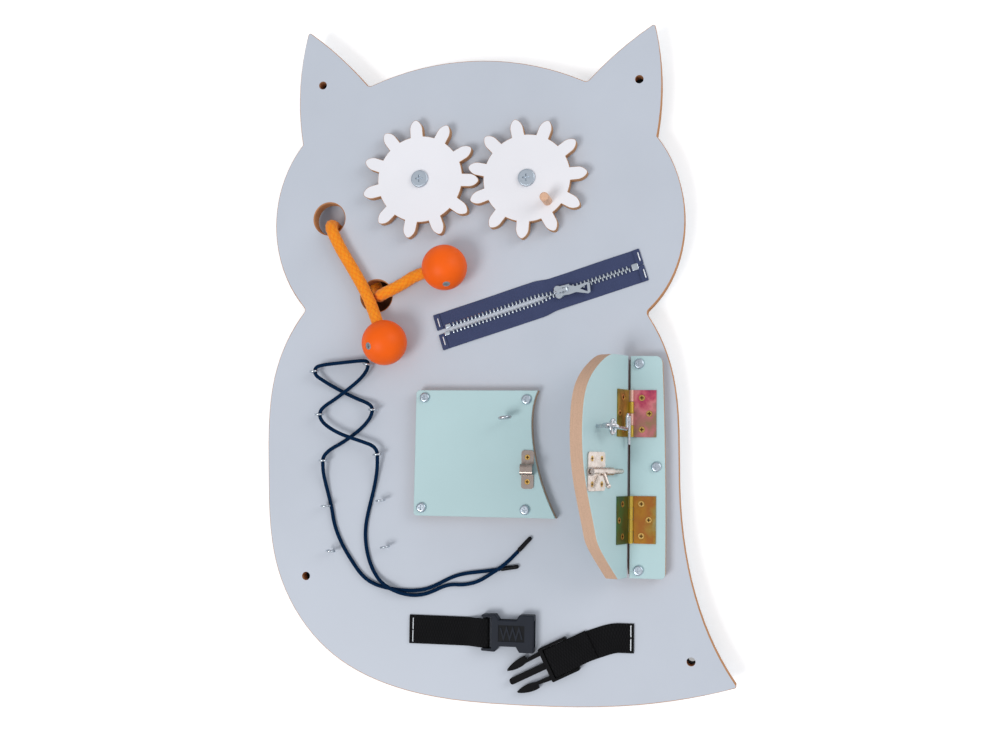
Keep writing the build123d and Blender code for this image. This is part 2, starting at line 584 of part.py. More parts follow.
def leaf(side, middle):
    """One hinge leaf with its share of the knuckles; side +1 on the strip, -1 on the wing."""
    step = HINGE_LEN / KNUCKLES
    face_z = TOP + BOARD_T
    start = 2.3
    width = LEAF[side][0]
    plate = Pos(HINGE_X + side * (start + width) / 2, middle, face_z + 0.05 + LEAF_T / 2)
    body = plate * Box(width - start, HINGE_LEN, LEAF_T)
    for i in range(KNUCKLES):
        if (i % 2 == 0) != (side > 0):
            continue
        y = middle + HINGE_LEN / 2 - step * (i + 0.5)
        barrel = Pos(HINGE_X, y, AXIS_Z) * Rot(90, 0, 0) * Cylinder(KNUCKLE_D / 2, step - 0.3)
        foot = Pos(HINGE_X + side * 1.6, y, face_z + 0.05 + LEAF_T / 2) * Box(3.0, step - 0.3, LEAF_T)
        body += barrel + foot
    for i in range(KNUCKLES):
        if (i % 2 == 0) == (side > 0):
            continue
        y = middle + HINGE_LEN / 2 - step * (i + 0.5)
        body -= Pos(HINGE_X, y, AXIS_Z) * Rot(90, 0, 0) * Cylinder(KNUCKLE_D / 2 + 0.25, step + 0.3)
    body -= Pos(HINGE_X, middle, AXIS_Z) * Rot(90, 0, 0) * Cylinder(PIN_D / 2 + 0.03, 2 * HINGE_LEN)
    for x, y in leaf_screws(side):
        if abs(y - middle) < HINGE_LEN / 2:
            body -= countersink(HINGE_X + x, y, face_z + 0.05 + LEAF_T, 5.6, 3.0, 4)
    return body


def make_hinges():
    face_z = TOP + BOARD_T + 0.05 + LEAF_T
    for name, middle in HINGE_Y.items():
        keep(f"{name}_fixed_leaf", leaf(1, middle))
        keep(f"{name}_moving_leaf", opened(leaf(-1, middle)))
        pin = Pos(HINGE_X, middle, AXIS_Z) * Rot(90, 0, 0) * Cylinder(PIN_D / 2, HINGE_LEN)
        keep(f"{name}_pin", pin)
    sunk = face_z - 0.1
    fixed = [countersunk(HINGE_X + x, y, sunk, 5.2, 3.0, 11) for x, y in leaf_screws(1)]
    moving = [countersunk(HINGE_X + x, y, sunk, 5.2, 3.0, 11) for x, y in leaf_screws(-1)]
    keep("strip_hinge_screws", *fixed)
    keep("wing_hinge_screws", *[opened(s) for s in moving])


# ---------------------------------------------------------------- barrel bolt and keeper
HOUSING_U = (45.0, 74.2)
HOUSING_HALF = 15.8
BARREL_U = (38.6, 75.0)
KNOB_U = 53.5
KNOB_STEM_D = 3.0
HOUSING_SCREWS = [(51.0, 10.3), (67.6, 10.3), (51.0, -10.3), (67.6, -10.3)]
KEEPER_X = (26.2, 37.0)
KEEPER_HALF = 16.6
KEEPER_SCREWS = [(31.5, LATCH_Y + 10.6), (31.5, LATCH_Y - 10.6)]


def make_wing():
    body = extrude(Pos(0, 0, TOP + BOARD_T - WING_T) * wing_face(), amount=WING_T)
    body = eased(body, 0.4)
    for x, y in leaf_screws(-1):
        body -= countersink(HINGE_X + x, y, TOP + BOARD_T, 3.3, 3.0, 10.5)
    for u, dy in HOUSING_SCREWS:
        body -= on_wing(u, LATCH_Y + dy) * Cylinder(1.3, 19)
    body -= on_wing(HOOK_U, HOOK_Y) * Cylinder(HOOK_WIRE_D / 2 + 0.05, 19)
    keep("wing_flap", opened(body))


def make_barrel_bolt():
    u0, u1 = HOUSING_U
    plate = on_wing((u0 + u1) / 2, LATCH_Y, 0.65) * Box(u1 - u0, 2 * HOUSING_HALF, 1.2)
    plate = fillet(plate.edges().filter_by(Axis.Z), 3.0)
    b0, b1 = BARREL_U
    axis_a = (HINGE_X - b0, LATCH_Y, TOP + BOARD_T + ROD_LIFT)
    axis_b = (HINGE_X - b1, LATCH_Y, TOP + BOARD_T + ROD_LIFT)
    barrel = rod(axis_a, axis_b, 6.9)
    body = plate + barrel
    far = (HINGE_X - b1 - 30, LATCH_Y, TOP + BOARD_T + ROD_LIFT)
    near = (HINGE_X - b0 + 30, LATCH_Y, TOP + BOARD_T + ROD_LIFT)
    body -= rod(near, far, ROD_D + 0.2)
    slot_len = ROD_TRAVEL + KNOB_STEM_D + 0.8
    slot_u = KNOB_U + ROD_TRAVEL / 2
    body -= on_wing(slot_u, LATCH_Y - 3.2, ROD_LIFT + 1.3) * Box(slot_len, 6.4, 4.2)
    for u, dy in HOUSING_SCREWS:
        body -= on_wing(u, LATCH_Y + dy) * Pos(0, 0, 1.25) * countersink(0, 0, 0, 4.8, 2.6, 4)
    keep("bolt_housing", opened(body))

    rod_in, rod_out = 20.0, 73.4
    start = (HINGE_X - rod_in, LATCH_Y, TOP + BOARD_T + ROD_LIFT)
    end = (HINGE_X - rod_out, LATCH_Y, TOP + BOARD_T + ROD_LIFT)
    bar = rod(start, end, ROD_D)
    bar = fillet(bar.edges().filter_by(GeomType.CIRCLE), 0.8)
    root = Vector(HINGE_X - KNOB_U, LATCH_Y, TOP + BOARD_T + ROD_LIFT)
    lean = Vector(0, -math.cos(math.radians(22)), math.sin(math.radians(22)))
    stem = rod(root, root + lean * 12.5, KNOB_STEM_D)
    knob = Pos(*(root + lean * 12.5)) * Sphere(2.2)
    keep("bolt_rod", opened(bar + stem + knob))

    screws = []
    for u, dy in HOUSING_SCREWS:
        screws.append(opened(on_wing(u, LATCH_Y + dy, 1.25) * countersunk(0, 0, 0, 4.6, 2.5, 10)))
    keep("bolt_screws", *screws)


def make_keeper():
    x0, x1 = KEEPER_X
    face = TOP + PLATE_T
    width = x1 - x0
    base = Pos((x0 + x1) / 2, LATCH_Y, face + 0.6) * Box(width, 2 * KEEPER_HALF, 1.2)
    base = fillet(base.edges().filter_by(Axis.Z), 2.4)
    top_z = TOP + BOARD_T + ROD_LIFT + ROD_D / 2 + 1.9
    bridge = Pos((x0 + x1) / 2, LATCH_Y, (face + top_z) / 2) * Box(width, 10.0, top_z - face)
    bridge = fillet(bridge.edges().filter_by(Axis.X).group_by(Axis.Z)[-1], 3.0)
    tunnel_top = top_z - 1.2
    tunnel = Pos((x0 + x1) / 2, LATCH_Y, (face + tunnel_top) / 2 - 0.5)
    tunnel = tunnel * Box(width + 8, 7.4, tunnel_top - face + 1.0)
    tunnel = fillet(tunnel.edges().filter_by(Axis.X).group_by(Axis.Z)[-1], 2.0)
    body = base + bridge - tunnel
    for x, y in KEEPER_SCREWS:
        body -= countersink(x, y, face + 1.2, 4.8, 2.6, 4)
    keep("bolt_keeper", body)
    screws = [countersunk(x, y, face + 1.2, 4.6, 2.5, 10) for x, y in KEEPER_SCREWS]
    keep("keeper_screws", *screws)


# ---------------------------------------------------------------- cabin hook
def make_cabin_hook():
    shank = on_wing(HOOK_U, HOOK_Y, -9) * Cylinder(HOOK_WIRE_D / 2, HOOK_EYE_LIFT - HOOK_EYE_R + 9,
                                                   align=(Align.CENTER, Align.CENTER, Align.MIN))
    loop = Rot(0, 0, HOOK_EYE_TURN) * Rot(90, 0, 0) * Torus(HOOK_EYE_R, HOOK_WIRE_D / 2)
    loop = on_wing(HOOK_U, HOOK_Y, HOOK_EYE_LIFT) * loop
    keep("hook_eye", opened(shank + loop))

    # drawn along +X from the eye's centre, then turned towards the hinge and down on the wing
    ring_x = HOOK_EYE_R + 0.6
    body = Pos(ring_x, 0, 0) * Torus(HOOK_RING_R, HOOK_WIRE_D / 2)
    inner_leg = HOOK_REACH - 6.0
    path = FilletPolyline((ring_x + HOOK_RING_R, 0, 0), (inner_leg, 0, 0), (inner_leg, 12.4, 0),
                          (HOOK_REACH, 12.4, 0), (HOOK_REACH, -12.8, 0), radius=2.8)
    body += sweep(Plane(origin=path @ 0, z_dir=path % 0) * Circle(HOOK_WIRE_D / 2), path=path)
    place = on_wing(HOOK_U, HOOK_Y - 0.4, HOOK_EYE_LIFT) * Rot(0, HOOK_REST_TILT, 0) * Rot(0, 0, -1.5)
    keep("cabin_hook", opened(place * body))

    ring_part = Pos(0, 0, RECEIVER_LIFT) * Rot(90, 0, 0) * Torus(RECEIVER_RING_R, RECEIVER_WIRE_D / 2)
    stem = Pos(0, 0, -7) * Cylinder(EYE_WIRE_D / 2 + 0.2, RECEIVER_LIFT - RECEIVER_RING_R + 7,
                                    align=(Align.CENTER, Align.CENTER, Align.MIN))
    keep("hook_receiver_eye", at(RECEIVER[0], RECEIVER[1], PLATE_T) * Rot(0, 0, 8) * (ring_part + stem))


# ---------------------------------------------------------------- straps and side-release buckle
FEMALE_X = (-7.6, 38.4)
FEMALE_Y = -241.0
FEMALE_HALF = 16.0
FEMALE_T = 10.0
FEMALE_BAR = (2.4, 4.6)   # strap bar: distance from the rear end, height above the strap's underside
MALE_ANGLE = 26.7
MALE_FRONT = (48.0, -267.6)
MALE_BAR = (7.85, 3.85)
BAR_R = 2.0
STRAP_LEFT_X = -74.0      # stapled end, fold line and middle of the left strap
STRAP_LEFT_FOLD = -67.6
STRAP_LEFT_Y = -241.6
STRAP_RIGHT_X = 123.4
STRAP_RIGHT_FOLD = 116.4
STRAP_RIGHT_Y = -241.9
STRAP_LIFT = 0.15
WRAP_R = BAR_R + 0.25 + STRAP_T / 2


def make_female():
    """Socket half: waisted case, hollow for the prongs, side windows, slot and bar for the strap."""
    length = FEMALE_X[1] - FEMALE_X[0]
    h = FEMALE_HALF
    w = h - 4.8
    half = [(0, h - 0.6), (12, h), (15.5, w), (30.5, w), (33.5, h), (length, h)]
    outline = half + [(x, -y) for x, y in reversed(half)]
    case = extrude(make_face(Polyline(*outline, close=True)), amount=FEMALE_T)
    case = fillet(case.edges().filter_by(Axis.Z), 1.0)
    case = fillet(case.faces().sort_by(Axis.Z)[-1].outer_wire().edges(), 0.8)
    case -= Pos(11.5, 0, 2) * Box(60, 23.0, 6.0, align=(Align.MIN, Align.CENTER, Align.MIN))
    case -= Pos(23.0, 0, FEMALE_T / 2) * Box(13.0, 60, 4.6)
    case -= Pos(9.0, 0, 0) * Box(30, 27.0, 30, align=(Align.MAX, Align.CENTER, Align.CENTER))
    case -= Pos(26.5, 0, FEMALE_T) * Box(23.0, 14.0, 1.2)
    zigzag = Polyline(*[(17.0 + 2.7 * i, 4.6 * (-1) ** i) for i in range(8)])
    case += Pos(0, 0, FEMALE_T - 0.7) * extrude(trace(zigzag, line_width=1.3), amount=0.7)
    case += Pos(FEMALE_BAR[0], 0, FEMALE_BAR[1]) * Rot(90, 0, 0) * Cylinder(BAR_R, 28.0)
    keep("buckle_female", at(FEMALE_X[0], FEMALE_Y, STRAP_LIFT) * case)


def make_male():
    """Plug half: frame with a strap bar and a low rear rail, middle guide, two barbed arms."""
    frame_l, half = 26.5, 15.3
    frame = extrude(Pos(frame_l / 2, 0) * Rectangle(frame_l, 2 * half), amount=7.5)
    frame = fillet(frame.edges().filter_by(Axis.Z), 1.4)
    frame = fillet(frame.faces().sort_by(Axis.Z)[-1].outer_wire().edges(), 0.8)
    frame -= Pos(13.725, 0, 0) * Box(20.05, 26.4, 40)
    frame -= Pos(23.0, 0, 2.0) * Box(9, 26.4, 10, align=(Align.MIN, Align.CENTER, Align.MAX))
    frame -= Pos(23.0, 0, 5.6) * Box(9, 26.4, 10, align=(Align.MIN, Align.CENTER, Align.MIN))
    bar = Pos(MALE_BAR[0], 0, MALE_BAR[1]) * Rot(90, 0, 0) * Cylinder(BAR_R, 28.0)
    guide = Pos(0.5, 0, 3.75) * Box(34.5, 5.6, 4.6, align=(Align.MAX, Align.CENTER, Align.CENTER))
    guide = fillet(guide.edges().filter_by(Axis.Z).group_by(Axis.X)[0], 2.2)
    body = frame + bar + guide
    for side in (1, -1):
        arm = make_face([
            Line((0.5, side * 13.2), (0.5, side * 9.4)),
            Line((0.5, side * 9.4), (-14.0, side * 9.0)),
            Spline((-14.0, side * 9.0), (-23.5, side * 7.8), (-32.0, side * 9.6)),
            Line((-32.0, side * 9.6), (-31.4, side * 10.9)),
            Spline((-31.4, side * 10.9), (-23.5, side * 14.0), (-13.0, side * 14.9)),
            Line((-13.0, side * 14.9), (-12.7, side * 11.9)),
            Line((-12.7, side * 11.9), (0.5, side * 13.2)),
        ])
        body += Pos(0, 0, 1.6) * extrude(arm, amount=4.3)
    keep("buckle_male", at(MALE_FRONT[0], MALE_FRONT[1], STRAP_LIFT) * Rot(0, 0, MALE_ANGLE) * body)


def webbing(points, radii):
    """Band of webbing from its middle line seen from the side, x along the strap and y up."""
    path = FilletPolyline(*points, radius=radii)
    return extrude(Plane.XZ * trace(path, line_width=STRAP_T), amount=STRAP_W / 2, both=True)


def make_straps():
    """Each strap lies flat from its staples and turns round its buckle's bar."""
    lie = STRAP_T / 2
    bar_x = FEMALE_X[0] + FEMALE_BAR[0]
    high, low = FEMALE_BAR[1] + WRAP_R, FEMALE_BAR[1] - WRAP_R
    line = [(STRAP_LEFT_FOLD - bar_x, lie), (-15.0, lie), (-4.6, high), (WRAP_R, high),
            (WRAP_R, low), (-1.8, low)]
    left = webbing(line, [6.0, 4.0, 2.9, 2.9])
    keep("strap_left", at(bar_x, STRAP_LEFT_Y, STRAP_LIFT) * left)
    tab_len = STRAP_LEFT_FOLD - 0.1 - STRAP_LEFT_X
    tab = at(STRAP_LEFT_X + tab_len / 2, STRAP_LEFT_Y, STRAP_LIFT + lie) * Box(tab_len, STRAP_W, STRAP_T)
    keep("strap_left_end", tab)

    angle = math.radians(MALE_ANGLE)
    toward = Vector(math.cos(angle), math.sin(angle), 0)
    bar = Vector(MALE_FRONT[0], MALE_FRONT[1], 0) + toward * MALE_BAR[0]
    joint = bar + toward * 23.1
    line = [(STRAP_RIGHT_FOLD, STRAP_RIGHT_Y), (107.0, STRAP_RIGHT_Y), (88.0, -248.4),
            (joint.X, joint.Y)]
    path = FilletPolyline(*line, radius=26)
    flat = at(0, 0, STRAP_LIFT) * extrude(trace(path, line_width=STRAP_W), amount=STRAP_T)
    high, low = MALE_BAR[1] + WRAP_R, MALE_BAR[1] - WRAP_R
    upper = 1.5 * STRAP_T + 0.1
    line = [(-24.1, low), (WRAP_R, low), (WRAP_R, high), (-20.0, high), (-26.5, upper),
            (-36.0, upper)]
    loop = webbing(line, [2.9, 2.9, 4.0, 4.0])
    turn = at(bar.X, bar.Y, STRAP_LIFT) * Rot(0, 0, 180 + MALE_ANGLE)
    keep("strap_right", flat + turn * loop)
    tab_len = STRAP_RIGHT_X - STRAP_RIGHT_FOLD - 0.1
    tab = at(STRAP_RIGHT_X - tab_len / 2, STRAP_RIGHT_Y, STRAP_LIFT + lie)
    keep("strap_right_end", tab * Box(tab_len, STRAP_W, STRAP_T))

    staples = []
    for x, y in ((-70.5, -236.6), (-70.6, -247.4), (120.9, -235.8), (120.9, -247.2)):
        staples.append(at(x, y, STRAP_LIFT + STRAP_T + 0.35) * Box(1.3, 9.4, 0.6))
    keep("strap_staples", *staples)


def main():
    os.makedirs("parts", exist_ok=True)
    make_board()
    make_spacers()
    make_gear_set("left", GEAR_LEFT, GEAR_LEFT_PHASE)
    make_gear_set("right", GEAR_RIGHT, GEAR_RIGHT_PHASE)
    make_gear_fastenings()
    make_rope_and_balls()
    make_zip()
    make_slider()
    make_lacing()
    make_plate()
    make_strip()
    make_wing()
    make_hinges()
    make_barrel_bolt()
    make_keeper()
    make_cabin_hook()
    make_female()
    make_male()
    make_straps()
    for name, shape in NODES.items():
        export_step(shape, f"parts/{name}.step")
    print(len(NODES), "nodes")


main()
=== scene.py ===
"""Owl activity board: finishes, cords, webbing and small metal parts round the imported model."""

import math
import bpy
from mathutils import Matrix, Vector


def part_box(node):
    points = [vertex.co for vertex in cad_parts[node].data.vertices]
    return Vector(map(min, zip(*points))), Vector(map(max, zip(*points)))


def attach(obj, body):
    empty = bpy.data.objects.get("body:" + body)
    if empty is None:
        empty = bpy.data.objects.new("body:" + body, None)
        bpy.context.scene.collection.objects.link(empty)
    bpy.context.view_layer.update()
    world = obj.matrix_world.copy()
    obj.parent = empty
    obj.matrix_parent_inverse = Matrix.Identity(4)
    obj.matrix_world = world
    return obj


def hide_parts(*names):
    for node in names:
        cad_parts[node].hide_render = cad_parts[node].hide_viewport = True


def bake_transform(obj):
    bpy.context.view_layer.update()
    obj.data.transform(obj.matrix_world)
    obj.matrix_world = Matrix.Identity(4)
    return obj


bl_info = {
    "name": "Owl Activity Board",
    "version": (1, 0, 0),
    "blender": (4, 5, 0),
    "location": "View3D > Sidebar > Owl Board",
    "description": "Painted owl board with gears, rope, zip, lacing, hinged wing and buckle",
    "category": "Add Mesh",
}

import bpy
import numpy as np
from mathutils import Matrix, Vector

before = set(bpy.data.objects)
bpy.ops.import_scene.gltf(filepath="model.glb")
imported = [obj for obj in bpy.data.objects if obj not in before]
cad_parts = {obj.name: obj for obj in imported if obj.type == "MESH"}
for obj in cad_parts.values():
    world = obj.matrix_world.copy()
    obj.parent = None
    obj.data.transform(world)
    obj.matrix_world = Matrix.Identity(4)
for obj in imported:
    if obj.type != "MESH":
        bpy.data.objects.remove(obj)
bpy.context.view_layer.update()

TURN = 2 * math.pi
BOARD_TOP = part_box("board_panel")[1].z
HINGE_AXIS = (0.1213, 0.0, 0.0422)      # pin axis of the wing, which runs along Y
WING_OPEN = math.radians(69)            # how far the wing stands open at rest
KNUCKLE_RADIUS = 0.0024                 # round the pin axis, where a hinge's knuckles lie
WING_FACE = (math.sin(WING_OPEN), 0.0, math.cos(WING_OPEN))     # out of its painted face
ALONG_X, ALONG_Y, ALONG_Z = (1.0, 0.0, 0.0), (0.0, 1.0, 0.0), (0.0, 0.0, 1.0)
ZIP_START = np.array((-0.0524, 0.0203))     # middle of the zip's left end
ZIP_END = np.array((0.1296, 0.0786))        # and of its right end
ZIP_LENGTH = float(np.hypot(*(ZIP_END - ZIP_START)))
SLIDER_AT = 0.1175                          # slider's middle, along the zip from its left end


def tone(red, green, blue):
    """Colour given as bytes, in the linear numbers that the shaders take."""
    share = np.array((red, green, blue)) / 255
    return tuple(np.where(share <= 0.04045, share / 12.92, ((share + 0.055) / 1.055) ** 2.4))


# ---------------------------------------------------------------- sizes and colours
def colour_property(name, description, *levels):
    """Colour that a user can change, with its default given as bytes."""
    return bpy.props.FloatVectorProperty(name=name, description=description, subtype="COLOR",
                                         size=3, min=0, max=1, default=tone(*levels))


def length_property(name, description, default):
    """Length that a user can change, in metres."""
    return bpy.props.FloatProperty(name=name, description=description, unit="LENGTH",
                                   precision=5, default=default)


class OwlPaint(bpy.types.PropertyGroup):
    board: colour_property("Board", "Paint of the owl-shaped panel", 195, 201, 211)
    mint: colour_property("Mint", "Paint of the plate, strip and wing", 183, 210, 212)
    gear: colour_property("Gear", "White laminate of the gears", 238, 237, 241)
    board_edge: colour_property("Board edge", "Raw fibreboard round the panel", 198, 142, 96)
    wing_edge: colour_property("Wing edge", "Raw fibreboard round the wing", 208, 172, 146)
    gear_edge: colour_property("Gear edge", "Raw fibreboard round the gears", 196, 150, 112)
    ball: colour_property("Ball", "Lacquer of the wooden balls", 254, 101, 6)


class OwlRope(bpy.types.PropertyGroup):
    diameter: length_property("Diameter", "Across the braid", 0.011)
    strands: bpy.props.IntProperty(name="Strands", description="Strands that wind each way",
                                   default=7, min=3)
    lay: length_property("Lay", "Length in which a strand goes once round", 0.050)
    colour: colour_property("Colour", "Dyed polypropylene", 255, 152, 30)


class OwlLace(bpy.types.PropertyGroup):
    diameter: length_property("Diameter", "Across the lace", 0.0034)
    tip_diameter: length_property("Tip diameter", "Across a plastic tip", 0.0039)
    tip_length: length_property("Tip length", "Length of a plastic tip", 0.017)
    colour: colour_property("Colour", "Dyed cotton", 7, 38, 70)


class OwlZip(bpy.types.PropertyGroup):
    tape_width: length_property("Tape width", "One tape, edge to edge", 0.0144)
    tape_thickness: length_property("Tape thickness", "One layer of the tape", 0.0008)
    hem: length_property("Turned end", "Length of tape folded back at each end", 0.0055)
    pitch: length_property("Tooth pitch", "Distance between teeth in a row", 0.0035)
    open_half: length_property("Open half gap", "Zip's middle to a tape, undone", 0.0020)
    shut_half: length_property("Shut half gap", "Zip's middle to a tape, done up", 0.00015)
    tooth_out: length_property("Tooth reach", "A tooth stands this far past its tape", 0.00095)
    colour: colour_property("Colour", "Woven tape", 66, 74, 106)


class OwlWebbing(bpy.types.PropertyGroup):
    width: length_property("Width", "Across the webbing", 0.025)
    thickness: length_property("Thickness", "Through the webbing", 0.0016)
    colour: colour_property("Colour", "Woven polypropylene", 10, 10, 11)


class OwlStage(bpy.types.PropertyGroup):
    lens: bpy.props.FloatProperty(name="Lens", description="Focal length of the camera",
                                  unit="CAMERA", default=44.28)
    key: bpy.props.FloatProperty(name="Key", description="Strength of the main lamp",
                                 unit="POWER", default=86.0)
    fill: bpy.props.FloatProperty(name="Fill", description="Strength of the second lamp",
                                  unit="POWER", default=26.0)
    sky: bpy.props.FloatProperty(name="Surroundings", description="Level of the pale surroundings",
                                 default=0.60, min=0)


class OwlBoard(bpy.types.PropertyGroup):
    paint: bpy.props.PointerProperty(type=OwlPaint, name="Paint", description="Painted parts")
    rope: bpy.props.PointerProperty(type=OwlRope, name="Rope", description="Braided pull rope")
    lace: bpy.props.PointerProperty(type=OwlLace, name="Lace", description="Lacing cord")
    zip: bpy.props.PointerProperty(type=OwlZip, name="Zip", description="Metal zip")
    webbing: bpy.props.PointerProperty(type=OwlWebbing, name="Webbing", description="Two straps")
    stage: bpy.props.PointerProperty(type=OwlStage, name="Stage", description="Camera and lamps")


# ---------------------------------------------------------------- surfaces
class Shape:
    """Points with four-cornered and three-cornered faces, and a map position for each corner."""

    def __init__(self, points, quads=None, triangles=None, quad_map=None, triangle_map=None):
        self.points = np.asarray(points, float).reshape(-1, 3)
        self.quads = np.zeros((0, 4), int) if quads is None else np.asarray(quads)
        self.triangles = np.zeros((0, 3), int) if triangles is None else np.asarray(triangles)
        self.quad_map = np.zeros((len(self.quads), 4, 2)) if quad_map is None else quad_map
        self.triangle_map = (np.zeros((len(self.triangles), 3, 2)) if triangle_map is None
                             else triangle_map)

    def outward(self):
        """Turns the faces round if the shape's volume comes out negative."""
        both = np.concatenate([self.quads[:, [0, 1, 2]], self.quads[:, [0, 2, 3]], self.triangles])
        a, b, c = (self.points[both[:, k]] for k in range(3))
        if (a * np.cross(b, c)).sum() < 0:
            self.quads, self.quad_map = self.quads[:, ::-1], self.quad_map[:, ::-1]
            self.triangles = self.triangles[:, ::-1]
            self.triangle_map = self.triangle_map[:, ::-1]
        return self

    def moved(self, matrix):
        """The shape after a 4 by 4 matrix."""
        m = np.array(matrix)
        points = self.points @ m[:3, :3].T + m[:3, 3]
        return Shape(points, self.quads, self.triangles, self.quad_map, self.triangle_map)


def joined(shapes):
    """Several shapes as one, each with its points numbered after those before it."""
    starts = np.cumsum([0] + [len(s.points) for s in shapes[:-1]])
    return Shape(
        np.concatenate([s.points for s in shapes]),
        np.concatenate([s.quads + n for s, n in zip(shapes, starts)]),
        np.concatenate([s.triangles + n for s, n in zip(shapes, starts)]),
        np.concatenate([s.quad_map for s in shapes]),
        np.concatenate([s.triangle_map for s in shapes]),
    )


def closed_grid(rings, along=None, around=None):
    """Tube from rings[i, j], the j-th point of the i-th ring, closed round and at both ends.

    The map position of a corner is (along[i], around[j]), or (i, j) where they aren't given."""
    count, columns = rings.shape[:2]
    along = np.arange(count) if along is None else np.asarray(along)
    around = np.arange(columns + 1) if around is None else np.asarray(around)
    i, j = np.meshgrid(np.arange(count - 1), np.arange(columns), indexing="ij")
    i, j = i.ravel(), j.ravel()
    k = (j + 1) % columns
    quads = np.stack([i * columns + j, (i + 1) * columns + j, (i + 1) * columns + k,
                      i * columns + k], axis=1)
    u = np.stack([along[i], along[i + 1], along[i + 1], along[i]], axis=1)
    v = np.stack([around[j], around[j], around[j + 1], around[j + 1]], axis=1)
    first, last = count * columns, count * columns + 1
    column = np.arange(columns)
    after = (column + 1) % columns
    start = np.stack([np.full(columns, first), column, after], axis=1)
    stop = np.stack([np.full(columns, last), (count - 1) * columns + after,
                     (count - 1) * columns + column], axis=1)
    caps = np.stack([np.stack([np.full(columns, along[e])] * 3, axis=1) for e in (0, -1)])
    turns = np.stack([around[column], around[column], around[column + 1]], axis=1)
    cap_map = np.stack([caps.reshape(-1, 3), np.concatenate([turns, turns[:, [0, 2, 1]]])], axis=2)
    points = np.concatenate([rings.reshape(-1, 3), rings[0].mean(0)[None], rings[-1].mean(0)[None]])
    return Shape(points, quads, np.concatenate([start, stop]), np.stack([u, v], axis=2), cap_map)


def tangents(line):
    """Unit vector along a line at each of its points, from the difference of its neighbours."""
    tangent = np.gradient(line, axis=0)
    return tangent / np.linalg.norm(tangent, axis=1)[:, None]


def frames_along(line):
    """Side and up at each point of a line. The side is the one before, less its part along the
    tangent, and up is tangent x side."""
    tangent = tangents(line)
    side = np.zeros_like(line)
    guess = np.cross(ALONG_Z, tangent[0])
    if np.linalg.norm(guess) < 0.1:         # the line starts upright
        guess = np.array(ALONG_X)
    for i, t in enumerate(tangent):
        guess = guess - (guess @ t) * t
        guess /= np.linalg.norm(guess)
        side[i] = guess
    return side, np.cross(tangent, side)


def lengths_along(line):
    """Distance from the start of a line to each of its points."""
    return np.concatenate([[0], np.cumsum(np.linalg.norm(np.diff(line, axis=0), axis=1))])


def picked(values, length, place):
    """Values that are known at some lengths, read between them at other places."""
    return np.stack([np.interp(place, length, values[:, k]) for k in range(3)], axis=1)


def spaced(line, step):
    """The line again, with its points a step apart."""
    length = lengths_along(line)
    return picked(line, length, np.linspace(0, length[-1], max(2, round(length[-1] / step) + 1)))


def rings_round(line, radius, angle):
    """Rings centre + radius (cos a, sin a) in the line's own frame."""
    side, up = frames_along(line)
    return (line[:, None] + radius[..., None] * (np.cos(angle)[None, :, None] * side[:, None]
            + np.sin(angle)[None, :, None] * up[:, None]))


def tube(line, radius, columns=12):
    """Round bar along a line. At a distance s from either end, less than the radius r, it
    narrows to sqrt(r^2 - (r - s)^2).

    radius is a number or one number for each point."""
    radius = np.broadcast_to(np.asarray(radius, float), (len(line),))
    length = lengths_along(line)
    narrow = np.sin(np.linspace(0.12, 0.5, 5) * math.pi)
    near = 1 - np.sqrt(1 - narrow ** 2)
    first, last = radius[[0, -1]]
    between = (length > first * 1.05) & (length < length[-1] - last * 1.05)
    place = np.concatenate([first * near, length[between], (length[-1] - last * near)[::-1]])
    line = picked(line, length, place)
    radius = np.interp(place, length, radius)
    radius[:len(narrow)] *= narrow
    radius[-len(narrow):] *= narrow[::-1]
    rings = rings_round(line, radius[:, None], np.arange(columns) / columns * TURN)
    around = np.linspace(0, TURN * float(np.median(radius)), columns + 1)
    return closed_grid(rings, lengths_along(line), around).outward()


def arc(centre, radius, start, end, steps):
    """Points round a centre from one angle to another, both in degrees, in the XZ plane."""
    angle = np.radians(np.linspace(start, end, steps))
    zero = np.zeros(steps)
    return np.array(centre) + radius * np.stack([np.cos(angle), zero, np.sin(angle)], axis=1)


def pebble(centre, half, power=4.0, rows=6, columns=10):
    """Rounded block |x/a|^p + |y/b|^p + |z/c|^p = 1, from two angles whose sines and cosines
    are raised to 2/p."""
    def soft(value):
        return np.sign(value) * np.abs(value) ** (2 / power)

    near_pole = 0.497 * math.pi
    lat = np.linspace(-0.5, 0.5, rows + 1)[1:-1] * math.pi
    lat = np.concatenate([[-near_pole], lat, [near_pole]])
    lon = (np.arange(columns) + 0.5) / columns * TURN
    across = soft(np.cos(lat))[:, None]
    rings = np.stack([across * soft(np.cos(lon)), across * soft(np.sin(lon)),
                      soft(np.sin(lat))[:, None] + 0 * lon], axis=2)
    return closed_grid(rings * np.array(half) + np.array(centre)).outward()


def smooth_line(corners, steps=8):
    """Quadratic spline of a line of corners: from the middle of one run to the middle of the
    next it is (1-t)^2 A + 2t(1-t) corner + t^2 B, and it ends at the outer corners."""
    corners = np.asarray(corners, float)
    middles = (corners[1:] + corners[:-1]) / 2
    middles[0], middles[-1] = corners[0], corners[-1]
    t = np.linspace(0, 1, steps, endpoint=False)[None, :, None]
    a, b, c = middles[:-1, None], corners[1:-1, None], middles[1:, None]
    bends = (1 - t) ** 2 * a + 2 * t * (1 - t) * b + t ** 2 * c
    return np.concatenate([bends.reshape(-1, corners.shape[1]), corners[-1:]])


